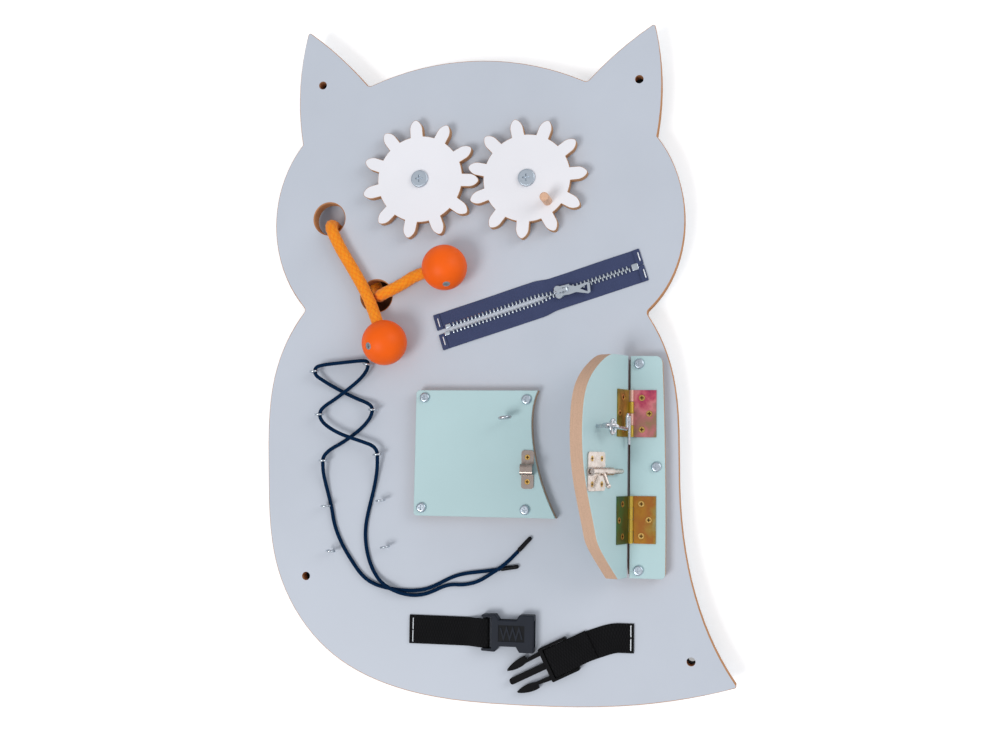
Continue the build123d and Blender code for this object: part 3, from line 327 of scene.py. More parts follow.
def band(line, across, width, thickness, columns=16, wave=None):
    """Woven band: at each point of the line the section is the oval
    |x/(w/2)|^8 + |z/(t/2)|^2 = 1, with x along across and z at a right angle to both.

    wave, if given, lifts each point by wave(length along, distance across)."""
    tangent = tangents(line)
    across = across - (across * tangent).sum(1)[:, None] * tangent
    across /= np.linalg.norm(across, axis=1)[:, None]
    up = np.cross(tangent, across)
    share = -np.cos(np.linspace(0, 1, columns + 1) * math.pi)
    share = np.sign(share) * np.abs(share) ** 0.8
    x = np.concatenate([share, share[-2:0:-1]])
    z = np.sqrt(np.clip(1 - np.abs(x) ** 8, 0, 1))
    z[columns + 1:] *= -1
    length = lengths_along(line)
    rings = (line[:, None] + (x * width / 2)[None, :, None] * across[:, None]
             + (z * thickness / 2)[None, :, None] * up[:, None])
    if wave is not None:
        rings = rings + wave(length[:, None], (x * width / 2)[None])[..., None] * up[:, None]
    around = np.concatenate([x, x[:1]]) * width / 2
    return closed_grid(rings, length, around).outward()


def braid(line, diameter, strands, lay, relief, columns_per_strand=8):
    """Round braid. With turn the share of a full turn and s the length along, one family of
    strands lies where a = strands (turn + s / lay) is whole, the other where
    b = strands (turn - s / lay) is whole. Each is 0.55 of a ridge sqrt(1 - (1.9 da)^2), which
    rises and dips by 0.45 cos(pi (b + whole a)), and the surface stands at the higher of the
    two.

    A corner's map position is (distance from its strand's middle in strand widths, length)."""
    columns = strands * columns_per_strand
    length = lengths_along(line)
    turn = np.arange(columns + 1) / columns
    a = strands * (turn[None] + length[:, None] / lay)
    b = strands * (turn[None] - length[:, None] / lay)

    def height(own, other, sign):
        whole = np.round(own)
        ridge = np.sqrt(np.clip(1 - (1.9 * (own - whole)) ** 2, 0, 1))
        return 0.55 * ridge + 0.45 * sign * np.cos(math.pi * (other + whole))

    high = np.maximum(height(a, b, 1), height(b, a, -1))
    radius = diameter / 2 - relief * (1 - high) / 1.2
    rings = rings_round(line, radius[:, :-1], turn[:-1] * TURN)
    shape = closed_grid(rings, length, np.arange(columns + 1.0))

    i, j = np.meshgrid(np.arange(len(line) - 1), np.arange(columns), indexing="ij")
    i, j = i.ravel(), j.ravel()
    middle_a = (a[i, j] + a[i + 1, j + 1]) / 2
    middle_b = (b[i, j] + b[i + 1, j + 1]) / 2
    first = height(middle_a, middle_b, 1) >= height(middle_b, middle_a, -1)
    corner_i = np.stack([i, i + 1, i + 1, i], axis=1)
    corner_j = np.stack([j, j, j + 1, j + 1], axis=1)
    own = np.where(first[:, None], a[corner_i, corner_j], b[corner_i, corner_j])
    whole = np.round(np.where(first, middle_a, middle_b))[:, None]
    shape.quad_map = np.stack([own - whole, length[corner_i]], axis=2)
    return shape.outward()


def piece(name, shape, finish, body, replaces, sharp=40):
    """Puts a shape into a mesh object that stands for CAD nodes, smooth but for edges of more than
    sharp degrees. It rides on its body, where one is given."""
    mesh = bpy.data.meshes.new(name)
    mesh.vertices.add(len(shape.points))
    mesh.vertices.foreach_set("co", shape.points.astype(np.float32).ravel())
    corners = np.concatenate([shape.quads.ravel(), shape.triangles.ravel()])
    sizes = np.concatenate([np.full(len(shape.quads), 4), np.full(len(shape.triangles), 3)])
    mesh.loops.add(len(corners))
    mesh.loops.foreach_set("vertex_index", corners.astype(np.int32))
    mesh.polygons.add(len(sizes))
    starts = np.concatenate([[0], np.cumsum(sizes)[:-1]])
    mesh.polygons.foreach_set("loop_start", starts.astype(np.int32))
    mesh.update(calc_edges=True)
    flat_map = np.concatenate([shape.quad_map.reshape(-1, 2), shape.triangle_map.reshape(-1, 2)])
    layer = mesh.uv_layers.new(name="UVMap")
    layer.data.foreach_set("uv", flat_map.astype(np.float32).ravel())
    mesh.validate()
    mesh.shade_smooth()
    mesh.set_sharp_from_angle(angle=math.radians(sharp))
    mesh.materials.append(finish)
    made = bpy.data.objects.new(name, mesh)
    bpy.context.scene.collection.objects.link(made)
    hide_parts(*replaces)
    if body:
        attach(made, body)
    return made


def route_line(name, corners, step):
    """Line of the spline whose control points are the corners, with points a step apart."""
    curve = bpy.data.curves.new(name, "CURVE")
    curve.dimensions = "3D"
    curve.resolution_u = 24
    spline = curve.splines.new("NURBS")
    spline.points.add(len(corners) - 1)
    for point, corner in zip(spline.points, corners):
        point.co = (*corner, 1)
    spline.order_u = 3
    spline.use_endpoint_u = True
    bare = bpy.data.objects.new(name, curve)
    mesh = bpy.data.meshes.new_from_object(bare)
    line = np.array([v.co for v in mesh.vertices], float).reshape(-1, 3)
    bpy.data.meshes.remove(mesh)
    bpy.data.objects.remove(bare)
    bpy.data.curves.remove(curve)
    return spaced(line, step)


# ---------------------------------------------------------------- places
def zip_matrix():
    """From the zip's own axes, x along it and z up from the board's face, to the board's."""
    along = (ZIP_END - ZIP_START) / ZIP_LENGTH
    turn = Matrix.Rotation(math.atan2(along[1], along[0]), 4, "Z")
    return Matrix.Translation((ZIP_START[0], ZIP_START[1], BOARD_TOP)) @ turn


def open_wing():
    """Turns a shape drawn on the shut wing to where the wing stands open."""
    there = Matrix.Translation(HINGE_AXIS)
    return there @ Matrix.Rotation(WING_OPEN, 4, "Y") @ there.inverted()


# ---------------------------------------------------------------- finishes
class Finish:
    """Node material with short calls for the nodes that the finishes share."""

    def __init__(self, name):
        self.material = bpy.data.materials.get(name) or bpy.data.materials.new(name)
        self.material.use_nodes = True
        self.tree = self.material.node_tree
        self.shader = self.tree.nodes["Principled BSDF"]
        self.coordinates = self.tree.nodes.new("ShaderNodeTexCoord")

    def add(self, kind, *inputs, output=0, **settings):
        """A node with its inputs set or linked in order; None leaves one as it is."""
        node = self.tree.nodes.new("ShaderNode" + kind)
        for key, value in settings.items():
            setattr(node, key, value)
        for socket, value in zip(node.inputs, inputs):
            if isinstance(value, bpy.types.NodeSocket):
                self.tree.links.new(value, socket)
            elif value is not None:
                socket.default_value = value
        return node.outputs[output]

    def math(self, operation, *values):
        """Result of one sum or comparison."""
        return self.add("Math", *values, operation=operation)

    def mix(self, share, first, second):
        """Blend of two colours."""
        node = self.tree.nodes.new("ShaderNodeMix")
        node.data_type = "RGBA"
        for socket, value in ((node.inputs[0], share), (node.inputs[6], first),
                              (node.inputs[7], second)):
            if isinstance(value, bpy.types.NodeSocket):
                self.tree.links.new(value, socket)
            elif socket is node.inputs[0]:
                socket.default_value = value
            else:
                socket.default_value = (*value[:3], 1)
        return node.outputs[2]

    def ramp(self, share, stops):
        """Colour from a number, through (place, colour) stops."""
        node = self.tree.nodes.new("ShaderNodeValToRGB")
        elements = node.color_ramp.elements
        while len(elements) < len(stops):
            elements.new(0.5)
        for element, (place, colour) in zip(elements, stops):
            element.position = place
            element.color = (*colour, 1)
        self.tree.links.new(share, node.inputs[0])
        return node.outputs[0]

    def noise(self, where, scale, detail=2.0, roughness=0.5, distortion=0.0):
        """Cloudy number between 0 and 1, with scale clouds to the metre."""
        node = self.tree.nodes.new("ShaderNodeTexNoise")
        self.tree.links.new(where, node.inputs["Vector"])
        for key, value in (("Scale", scale), ("Detail", detail), ("Roughness", roughness),
                           ("Distortion", distortion)):
            node.inputs[key].default_value = value
        return node.outputs["Fac"]

    def level(self, value, low, high, to_low=0.0, to_high=1.0):
        """Stretches low to high over to_low to to_high, and stops there."""
        return self.add("MapRange", value, low, high, to_low, to_high)

    def mapped(self, vector, shift=(0, 0, 0), turn=(0, 0, 0), scale=(1, 1, 1), kind="POINT"):
        """A vector scaled, turned and shifted, in that order."""
        return self.add("Mapping", vector, shift, turn, scale, vector_type=kind)

    def place(self, shift=(0, 0, 0), turn=(0, 0, 0)):
        """The piece's own coordinates, turned and shifted."""
        return self.mapped(self.coordinates.outputs["Object"], shift, turn)

    def stretched(self, where, scale):
        """Coordinates scaled along each axis."""
        return self.mapped(where, scale=scale)

    def on_map(self, scale):
        """The piece's map position, scaled along each axis."""
        return self.mapped(self.coordinates.outputs["UV"], scale=scale)

    def parts_of(self, vector):
        """The three numbers of a vector."""
        node = self.tree.nodes.new("ShaderNodeSeparateXYZ")
        self.tree.links.new(vector, node.inputs[0])
        return node.outputs

    def bump(self, height, distance, strength):
        """Surface normal from a height that moves the surface by up to distance."""
        node = self.tree.nodes.new("ShaderNodeBump")
        node.inputs["Strength"].default_value = strength
        node.inputs["Distance"].default_value = distance
        self.tree.links.new(height, node.inputs["Height"])
        return node.outputs[0]

    def done(self, colour=None, roughness=None, normal=None, **constants):
        """Links or sets the shader's sockets, and gives the material."""
        named = {"Base Color": colour, "Roughness": roughness, "Normal": normal}
        for key, value in constants.items():
            named[key.replace("_", " ")] = value
        for key, value in named.items():
            if isinstance(value, bpy.types.NodeSocket):
                self.tree.links.new(value, self.shader.inputs[key])
            elif value is not None:
                self.shader.inputs[key].default_value = value
        return self.material


def shut_wing_turn():
    """Shift and turn that take the open wing's points back to the shut wing's."""
    back = open_wing().inverted()
    return tuple(back.to_translation()), tuple(back.to_euler("XYZ"))


def painted_fibreboard(name, paint, edge, on_wing=False, paint_roughness=0.42, edge_dark=0.72,
                       bevel_painted=False):
    """Roller-painted faces across Z, and raw fibreboard wherever the surface turns away from Z:
    layered along the thickness, with short fibres and darker specks."""
    f = Finish(name)
    shift, turn = shut_wing_turn() if on_wing else ((0, 0, 0), (0, 0, 0))
    where = f.place(shift, turn)
    facing = f.mapped(f.coordinates.outputs["Normal"], turn=turn, kind="NORMAL")
    upright = f.math("ABSOLUTE", f.parts_of(facing)["Z"])
    painted_from = 0.45 if bevel_painted else 0.86
    on_face = f.level(upright, painted_from, painted_from + 0.08)

    cloud = f.noise(where, 14, 3)
    peel = f.noise(where, 900, 2)
    grit = f.noise(where, 4200, 1)
    light = tuple(min(1, c * 1.02) for c in paint)
    dark = tuple(c * 0.975 for c in paint)
    painted = f.mix(f.level(cloud, 0.3, 0.7), dark, light)
    painted = f.mix(f.level(grit, 0.7, 0.82, 0, 0.12), painted, tuple(c * 0.8 for c in paint))

    layers = f.noise(f.stretched(where, (40, 40, 1400)), 1, 3, 0.6)
    fibres = f.noise(f.stretched(where, (900, 900, 2600)), 1, 4, 0.7)
    specks = f.noise(where, 1500, 2)
    raw = f.mix(f.level(layers, 0.3, 0.7), tuple(c * edge_dark for c in edge), edge)
    raw = f.mix(f.level(fibres, 0.42, 0.72, 0, 0.6), raw, tuple(min(1, c * 1.25) for c in edge))
    raw = f.mix(f.level(specks, 0.62, 0.75, 0, 0.55), raw, tuple(c * 0.45 for c in edge))

    colour = f.mix(on_face, raw, painted)
    roughness = f.math("ADD", f.level(on_face, 0, 1, 0.9, paint_roughness),
                       f.level(cloud, 0.3, 0.7, -0.04, 0.04))
    height = f.math("ADD", f.math("MULTIPLY", peel, f.level(on_face, 0, 1, 0.0, 0.5)),
                    f.math("MULTIPLY", fibres, f.level(on_face, 0, 1, 2.4, 0.0)))
    return f.done(colour, roughness, f.bump(height, 0.00012, 0.5), Specular_IOR_Level=0.4)


def lacquered_ball(name, colour):
    """Satin lacquer over turned wood: faint end grain under a thin clear coat."""
    f = Finish(name)
    where = f.place()
    cloud = f.noise(where, 60, 3)
    grain = f.noise(f.stretched(where, (700, 700, 90)), 1, 3, 0.6)
    shade = f.mix(f.level(cloud, 0.3, 0.7), tuple(c * 0.93 for c in colour), colour)
    shade = f.mix(f.level(grain, 0.6, 0.8, 0, 0.12), shade, tuple(c * 0.7 for c in colour))
    return f.done(shade, f.level(cloud, 0.3, 0.7, 0.46, 0.54), f.bump(grain, 0.00006, 0.5),
                  Coat_Weight=0.05, Coat_Roughness=0.4, Specular_IOR_Level=0.2)


def beech(name, colour):
    """Plain beech dowel: streaks and short flecks along Z, closed grain on its end."""
    f = Finish(name)
    where = f.place()
    streaks = f.noise(f.stretched(where, (1500, 1500, 60)), 1, 3, 0.6)
    flecks = f.noise(f.stretched(where, (2600, 900, 420)), 1, 2)
    shade = f.mix(f.level(streaks, 0.35, 0.7), tuple(c * 0.8 for c in colour), colour)
    shade = f.mix(f.level(flecks, 0.66, 0.74, 0, 0.5), shade, tuple(c * 0.6 for c in colour))
    return f.done(shade, 0.62, f.bump(streaks, 0.00008, 0.6), Specular_IOR_Level=0.35)


def braided_fibre(name, colour, crease_shade, strand_lines=9.0, roughness=0.85, relief=0.00025,
                  sheen=0.2):
    """Strands of a braid: the map gives the place across a strand and the length along it. Fine
    threads run along each strand, and its sides darken towards crease_shade, a painted shade where
    strands meet."""
    f = Finish(name)
    across, along, _ = f.parts_of(f.coordinates.outputs["UV"])
    side = f.math("ABSOLUTE", across)
    threads = f.noise(f.on_map((strand_lines, 320, 1)), 1, 3, 0.6)
    cloud = f.noise(f.place(), 90, 2)
    shade = f.mix(f.level(cloud, 0.3, 0.7), tuple(c * 0.92 for c in colour),
                  tuple(min(1, c * 1.06) for c in colour))
    shade = f.mix(f.level(threads, 0.45, 0.75, 0, 0.45), shade, tuple(c * 0.72 for c in colour))
    shade = f.mix(f.level(side, 0.22, 0.52, 0, 0.85), shade, crease_shade)
    return f.done(shade, roughness, f.bump(threads, relief, 0.6), Sheen_Weight=sheen,
                  Sheen_Roughness=0.5, Specular_IOR_Level=sheen)


def woven_band(name, colour, rib, column, relief, light=1.5, roughness=0.88):
    """Woven band: ribs across it every rib metres, each broken into floats a column wide that step
    by half a rib from column to column. The floats' crowns are painted lighter and the dips between
    them darker, as painted light and shade."""
    f = Finish(name)
    along, across, _ = f.parts_of(f.coordinates.outputs["UV"])
    column_at = f.math("DIVIDE", across, column)
    step = f.math("MULTIPLY", f.math("MODULO", f.math("FLOOR", column_at), 2.0), 0.5)
    phase = f.math("ADD", f.math("DIVIDE", along, rib), step)
    rise = f.math("ABSOLUTE", f.math("SINE", f.math("MULTIPLY", phase, math.pi)))
    width = f.math("ABSOLUTE", f.math("SINE", f.math("MULTIPLY", column_at, math.pi)))
    weave = f.math("MULTIPLY", f.math("POWER", rise, 0.6), f.level(width, 0, 0.5, 0.72, 1))
    fuzz = f.noise(f.place(), 2600, 3, 0.6)
    cloud = f.noise(f.place(), 70, 2)
    # painted light and shade: the weave's dips are darkened and its crowns lightened
    shade = f.mix(weave, tuple(c * 0.45 for c in colour), tuple(min(1, c * light) for c in colour))
    shade = f.mix(f.level(fuzz, 0.55, 0.8, 0, 0.3), shade, tuple(min(1, c * 1.9) for c in colour))
    shade = f.mix(f.level(cloud, 0.3, 0.7, 0, 0.25), shade, tuple(c * 0.8 for c in colour))
    height = f.math("ADD", weave, f.math("MULTIPLY", fuzz, 0.25))
    return f.done(shade, roughness, f.bump(height, relief, 0.8), Sheen_Weight=0.04,
                  Sheen_Roughness=0.5, Specular_IOR_Level=0.08)


def plated(name, colour, roughness, spots=0.25, tint=None, scratches=0.3):
    """Plated metal: cloudy polish, faint scratches, and a second tint in patches."""
    f = Finish(name)
    where = f.place()
    cloud = f.noise(where, 220, 3, 0.6)
    scratch = f.noise(f.stretched(where, (300, 3200, 300)), 1, 3, 0.7)
    tint = tint or tuple(c * 0.78 for c in colour)
    shade = f.mix(f.level(cloud, 0.4, 0.7, 0, spots * 2), colour, tint)
    rough = f.math("ADD", f.level(cloud, 0.3, 0.7, roughness * 0.75, roughness * 1.25),
                   f.level(scratch, 0.55, 0.8, 0, 0.12 * scratches))
    return f.done(shade, rough, f.bump(scratch, 0.00002, scratches), Metallic=1.0)


def chromated(name, stops, middle, across, knuckle, roughness=0.36):
    """Yellow chromate over zinc: thin-film colours that run through the stops as the share
    across . (x, y) from the leaf's middle rises, and drift in clouds. The knuckles round the
    pin axis have a tone of their own."""
    f = Finish(name)
    where = f.place(tuple(-c for c in middle))
    cloud = f.noise(f.stretched(where, (1.0, 0.7, 1.0)), 60, 2, 0.5, 0.2)
    fine = f.noise(where, 420, 4, 0.7)
    x, y, _ = f.parts_of(where)
    run = f.math("ADD", f.math("MULTIPLY", x, across[0]), f.math("MULTIPLY", y, across[1]))
    share = f.math("ADD", f.math("ADD", run, f.level(cloud, 0.25, 0.75, 0.08, 0.92)),
                   f.level(fine, 0.3, 0.7, -0.06, 0.06))
    shade = f.ramp(share, stops)
    axis = f.parts_of(f.place((-HINGE_AXIS[0], 0, -HINGE_AXIS[2])))
    square = f.math("ADD", f.math("MULTIPLY", axis["X"], axis["X"]),
                    f.math("MULTIPLY", axis["Z"], axis["Z"]))
    barrel = f.math("LESS_THAN", f.math("SQRT", square), KNUCKLE_RADIUS)
    shade = f.mix(barrel, shade, knuckle)
    return f.done(shade, f.level(fine, 0.3, 0.7, roughness * 0.8, roughness * 1.2),
                  f.bump(fine, 0.00003, 0.4), Metallic=0.8)


def moulded(name, colour, roughness=0.48, grain=1800.0, relief=0.00004, specular=0.12):
    """Moulded plastic with a fine spark texture."""
    f = Finish(name)
    where = f.place()
    sparks = f.noise(where, grain, 2)
    cloud = f.noise(where, 80, 2)
    shade = f.mix(f.level(cloud, 0.3, 0.7), tuple(c * 0.9 for c in colour),
                  tuple(min(1, c * 1.08) for c in colour))
    return f.done(shade, f.level(cloud, 0.3, 0.7, roughness * 0.9, roughness * 1.1),
                  f.bump(sparks, relief, 0.6), Specular_IOR_Level=specular)


def inlaid(material, colour, *slabs):
    """Recolours a finish where all the slabs overlap. A slab is a direction with the nearest
    and the farthest distance along it."""
    f = Finish(material.name)
    inside = 1.0
    for direction, near, far in slabs:
        along = f.add("VectorMath", f.place(), direction, output=1, operation="DOT_PRODUCT")
        for compare, limit in (("GREATER_THAN", near), ("LESS_THAN", far)):
            inside = f.math("MULTIPLY", inside, f.math(compare, along, limit))
    socket = f.shader.inputs["Base Color"]
    f.tree.links.new(f.mix(inside, socket.links[0].from_socket, colour), socket)
    return material


def top_along(name, direction):
    """Farthest distance of a CAD node's points along a direction."""
    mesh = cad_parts[name].data
    points = np.empty(len(mesh.vertices) * 3)
    mesh.vertices.foreach_get("co", points)
    return float((points.reshape(-1, 3) @ np.array(direction)).max())


def give(finish, *nodes):
    """Puts a finish on CAD nodes."""
    for name in nodes:
        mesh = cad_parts[name].data
        mesh.materials.clear()
        mesh.materials.append(finish)


# ---------------------------------------------------------------- stage
CAMERA_AT = (0.22006, -0.08916, 1.08865)
CAMERA_AXES = ((0.97996, 0.01346, -0.19872), (0.0, 0.99771, 0.06757),
               (0.19918, -0.06621, 0.97772))        # its right, its up and its back
SENSOR_WIDTH = 36
KEY_LAMP_AT, FILL_LAMP_AT, LAMP_WIDTH = (-1.65, -1.90, 3.90), (2.50, 1.25, 1.75), 1.9
FLOOR_HALF, FLOOR_GLOW = 4.0, 0.40
FLOOR_SHADE_SPOTS = (((-0.1575, 0.1280, 0), tone(212, 210, 216)),     # painted shade on the floor, seen through the rope holes
               ((-0.1135, 0.0560, 0), tone(104, 66, 46)))
SHADE_WHOLE, SHADE_GONE = 0.018, 0.028                # a spot of painted shade fades between these distances


class OWL_OT_stage(bpy.types.Operator):
    """Sets up the camera, the pale floor and the soft lamps"""
    bl_idname = "owl.stage"
    bl_label = "Stage"

    def execute(self, context):
        settings = context.scene.owl_board.stage
        scene = context.scene
        scene.view_settings.view_transform = "Standard"
        self.camera(scene, settings)
        self.floor(scene)
        self.surroundings(scene, settings)
        aim = Vector((0.0, 0.0, BOARD_TOP))
        self.lamp(scene, aim, "key_lamp", KEY_LAMP_AT, settings.key)
        self.lamp(scene, aim, "fill_lamp", FILL_LAMP_AT, settings.fill)
        return {"FINISHED"}

    def camera(self, scene, settings):
        """Stands the camera over the board, a little right of and below its middle."""
        data = bpy.data.cameras.new("camera")
        data.lens = settings.lens
        data.sensor_width = SENSOR_WIDTH
        camera = bpy.data.objects.new("camera", data)
        axes = Matrix(CAMERA_AXES).transposed().to_4x4()
        camera.matrix_world = Matrix.Translation(CAMERA_AT) @ axes
        scene.collection.objects.link(camera)
        scene.camera = camera

    def floor(self, scene):
        """Lays the pale floor, which shines a little to the camera and to reflections, with a soft
        spot of painted shade under each rope hole, where it doesn't shine."""
        half = FLOOR_HALF
        mesh = bpy.data.meshes.new("floor")
        mesh.from_pydata([(-half, -half, 0), (half, -half, 0), (half, half, 0), (-half, half, 0)],
                         [], [(0, 1, 2, 3)])
        f = Finish("pale_floor")
        cover, open_floor = (0.86, 0.86, 0.86), 1.0
        # painted shade: round each rope hole the floor is darkened and its glow taken away
        for middle, shade in FLOOR_SHADE_SPOTS:
            away = f.add("VectorMath", f.place(), middle, output=1, operation="DISTANCE")
            away = f.level(away, SHADE_WHOLE, SHADE_GONE)
            cover = f.mix(away, shade, cover)
            open_floor = f.math("MULTIPLY", open_floor, away)
        glow = f.add("Emission", (1, 1, 1, 1), f.math("MULTIPLY", open_floor, FLOOR_GLOW))
        seen = f.tree.nodes.new("ShaderNodeLightPath")
        straight = f.math("MAXIMUM", seen.outputs["Is Camera Ray"],
                          f.math("MAXIMUM", seen.outputs["Is Glossy Ray"],
                                 seen.outputs["Is Transmission Ray"]))
        f.done(cover, 0.9, Specular_IOR_Level=0.0)
        both = f.add("AddShader", f.shader.outputs[0], glow)
        shown = f.add("MixShader", straight, f.shader.outputs[0], both)
        f.tree.links.new(shown, f.tree.nodes["Material Output"].inputs[0])
        mesh.materials.append(f.material)
        floor = bpy.data.objects.new("floor", mesh)
        scene.collection.objects.link(floor)

    def surroundings(self, scene, settings):
        """Pale surroundings that brighten with z + 0.45 x of the direction looked in."""
        world = bpy.data.worlds.new("surroundings")
        world.use_nodes = True
        nodes, links = world.node_tree.nodes, world.node_tree.links
        back = nodes["Background"]
        back.inputs["Strength"].default_value = settings.sky
        where = nodes.new("ShaderNodeTexCoord")
        parts = nodes.new("ShaderNodeSeparateXYZ")
        links.new(where.outputs["Generated"], parts.inputs[0])
        lift = nodes.new("ShaderNodeMath")
        lift.operation = "MULTIPLY_ADD"
        lift.inputs[1].default_value = 0.45
        links.new(parts.outputs["X"], lift.inputs[0])
        links.new(parts.outputs["Z"], lift.inputs[2])
        ramp = nodes.new("ShaderNodeValToRGB")
        low, high = ramp.color_ramp.elements
        low.position, low.color = 0.0, (0.62, 0.64, 0.68, 1)
        high.position, high.color = 0.95, (1.0, 1.02, 1.06, 1)
        links.new(lift.outputs[0], ramp.inputs[0])
        links.new(ramp.outputs[0], back.inputs["Color"])
        scene.world = world

    def lamp(self, scene, aim, name, place, power):
        """Hangs a round soft lamp, facing aim."""
        data = bpy.data.lights.new(name, "AREA")
        data.shape = "DISK"
        data.size = LAMP_WIDTH
        data.energy = power
        made = bpy.data.objects.new(name, data)
        made.location = place
        made.rotation_mode = "QUATERNION"
        made.rotation_quaternion = (aim - Vector(place)).to_track_quat("-Z", "Y")
        scene.collection.objects.link(made)


# ---------------------------------------------------------------- cords
ROPE_ROUTE = (
    (-0.1006, 0.0187, 0.0454), (-0.1090, 0.0370, 0.0394), (-0.1172, 0.0540, 0.0352),
    (-0.1278, 0.0720, 0.0344), (-0.1380, 0.0878, 0.0342), (-0.1461, 0.1010, 0.0343),
    (-0.1556, 0.1204, 0.0343), (-0.1556, 0.1204, 0.0097), (-0.1428, 0.1014, 0.0094),
    (-0.1265, 0.0805, 0.0097), (-0.1115, 0.0565, 0.0097), (-0.1075, 0.0530, 0.0348),
    (-0.0850, 0.0636, 0.0344), (-0.0719, 0.0717, 0.0376), (-0.0524, 0.0746, 0.0448),
)

LACE_ROUTE = (
    (0.0067, -0.1869, 0.0300), (-0.0045, -0.1888, 0.0299), (-0.0145, -0.1901, 0.0299),
    (-0.0245, -0.1916, 0.0299), (-0.0340, -0.1942, 0.0299), (-0.0430, -0.1986, 0.0299),
    (-0.0520, -0.2035, 0.0299), (-0.0610, -0.2068, 0.0299), (-0.0710, -0.2082, 0.0299),
    (-0.0830, -0.2080, 0.0299), (-0.0960, -0.2066, 0.0299), (-0.1085, -0.2032, 0.0299),
    (-0.1186, -0.1966, 0.0299), (-0.1283, -0.1840, 0.0299), (-0.1385, -0.1684, 0.0299),
    (-0.1456, -0.1520, 0.0299), (-0.1483, -0.1366, 0.0299), (-0.1526, -0.1215, 0.0302),
    (-0.1558, -0.1075, 0.0326), (-0.1556, -0.0978, 0.0360), (-0.1554, -0.0912, 0.0360),
    (-0.1500, -0.0848, 0.0336), (-0.1389, -0.0784, 0.0307), (-0.1234, -0.0672, 0.0307),
    (-0.1148, -0.0592, 0.0336), (-0.1104, -0.0526, 0.0360), (-0.1102, -0.0464, 0.0360),
    (-0.1159, -0.0426, 0.0336), (-0.1288, -0.0382, 0.0307), (-0.1500, -0.0278, 0.0307),
    (-0.1594, -0.0218, 0.0338), (-0.1650, -0.0176, 0.0360), (-0.1650, -0.0110, 0.0360),
    (-0.1576, -0.0086, 0.0356), (-0.1395, -0.0067, 0.0350), (-0.1225, -0.0050, 0.0356),
    (-0.1152, -0.0052, 0.0360), (-0.1150, -0.0118, 0.0360), (-0.1198, -0.0194, 0.0362),
    (-0.1296, -0.0282, 0.0365), (-0.1454, -0.0400, 0.0365), (-0.1546, -0.0456, 0.0362),
    (-0.1594, -0.0505, 0.0360), (-0.1594, -0.0568, 0.0360), (-0.1530, -0.0638, 0.0362),
    (-0.1396, -0.0710, 0.0365), (-0.1200, -0.0771, 0.0365), (-0.1094, -0.0806, 0.0362),
    (-0.1049, -0.0856, 0.0360), (-0.1046, -0.0922, 0.0360), (-0.1056, -0.1020, 0.0326),
    (-0.1084, -0.1170, 0.0302), (-0.1130, -0.1354, 0.0299), (-0.1162, -0.1515, 0.0299),
    (-0.1162, -0.1650, 0.0299), (-0.1138, -0.1782, 0.0299), (-0.1092, -0.1902, 0.0301),
    (-0.1020, -0.2000, 0.0322), (-0.0926, -0.2062, 0.0341), (-0.0824, -0.2104, 0.0330),
    (-0.0718, -0.2124, 0.0302), (-0.0614, -0.2112, 0.0299), (-0.0526, -0.2078, 0.0299),
    (-0.0448, -0.2038, 0.0299), (-0.0364, -0.2014, 0.0299), (-0.0266, -0.2016, 0.0299),
    (-0.0170, -0.1998, 0.0303), (-0.0088, -0.1962, 0.0322), (-0.0014, -0.1914, 0.0344),
    (0.0054, -0.1870, 0.0344), (0.0113, -0.1824, 0.0322), (0.0172, -0.1768, 0.0303),
    (0.0225, -0.1710, 0.0303),
)


class OWL_OT_pull_rope(bpy.types.Operator):
    """Braids the orange pull rope through both holes, from ball to ball"""
    bl_idname = "owl.pull_rope"
    bl_label = "Pull rope"

    def execute(self, context):
        rope = context.scene.owl_board.rope
        line = route_line("pull_rope_route", ROPE_ROUTE, step=0.0006)
        shape = braid(line, rope.diameter, rope.strands, rope.lay, relief=0.0011)
        # the second colour is the painted shade where the strands meet
        finish = braided_fibre("orange_braid", rope.colour, tone(242, 118, 14))
        made = piece("braided_rope", shape, finish, "board", ["pull_rope"], sharp=180)
        return {"FINISHED"}


class OWL_OT_lacing_cord(bpy.types.Operator):
    """Laces the navy cord through the screw eyes and puts its two plastic tips on"""
    bl_idname = "owl.lacing_cord"
    bl_label = "Lacing cord"

    def execute(self, context):
        lace = context.scene.owl_board.lace
        line = route_line("lacing_cord_route", LACE_ROUTE, step=0.0005)
        shape = braid(line, lace.diameter, strands=5, lay=0.011, relief=0.00035,
                      columns_per_strand=6)
        # the second colour is the painted shade where the strands meet
        finish = braided_fibre("navy_cotton", lace.colour, tone(4, 22, 44), strand_lines=5.0,
                               roughness=0.9, relief=0.0001, sheen=0.03)
        cord = piece("laced_cord", shape, finish, "board", ["lacing_cord"], sharp=180)
        tips = self.tips(lace, line)
        return {"FINISHED"}

    def tips(self, lace, line):
        """Crimped plastic sleeves: the radius narrows by 8% towards the tip, and seven rings
        along it stand 5% proud, as cos^8."""
        finish = moulded("black_tip", tone(20, 21, 25), roughness=0.38)
        made = []
        for name, end, before in (("lower", line[0], line[6]), ("upper", line[-1], line[-7])):
            along = (end - before) / np.linalg.norm(end - before)
            share = np.linspace(0, 1, 40)
            path = end + along * (share * lace.tip_length)[:, None]
            swell = 1 - 0.08 * share + 0.05 * np.cos(share * 3 * TURN) ** 8
            shape = tube(path, lace.tip_diameter / 2 * swell, columns=20)
            made.append(piece(f"tip_{name}", shape, finish, "board",
                              [f"lace_tip_{name}"]))
        return made


# ---------------------------------------------------------------- painted parts
GAP_SHADE_WIDTH, GAP_SHADE_INSET, FACE_DEPTH = 0.0022, 0.0025, 0.001      # painted shadow on the panel beside the strip, where the gap under the open wing lies in shade
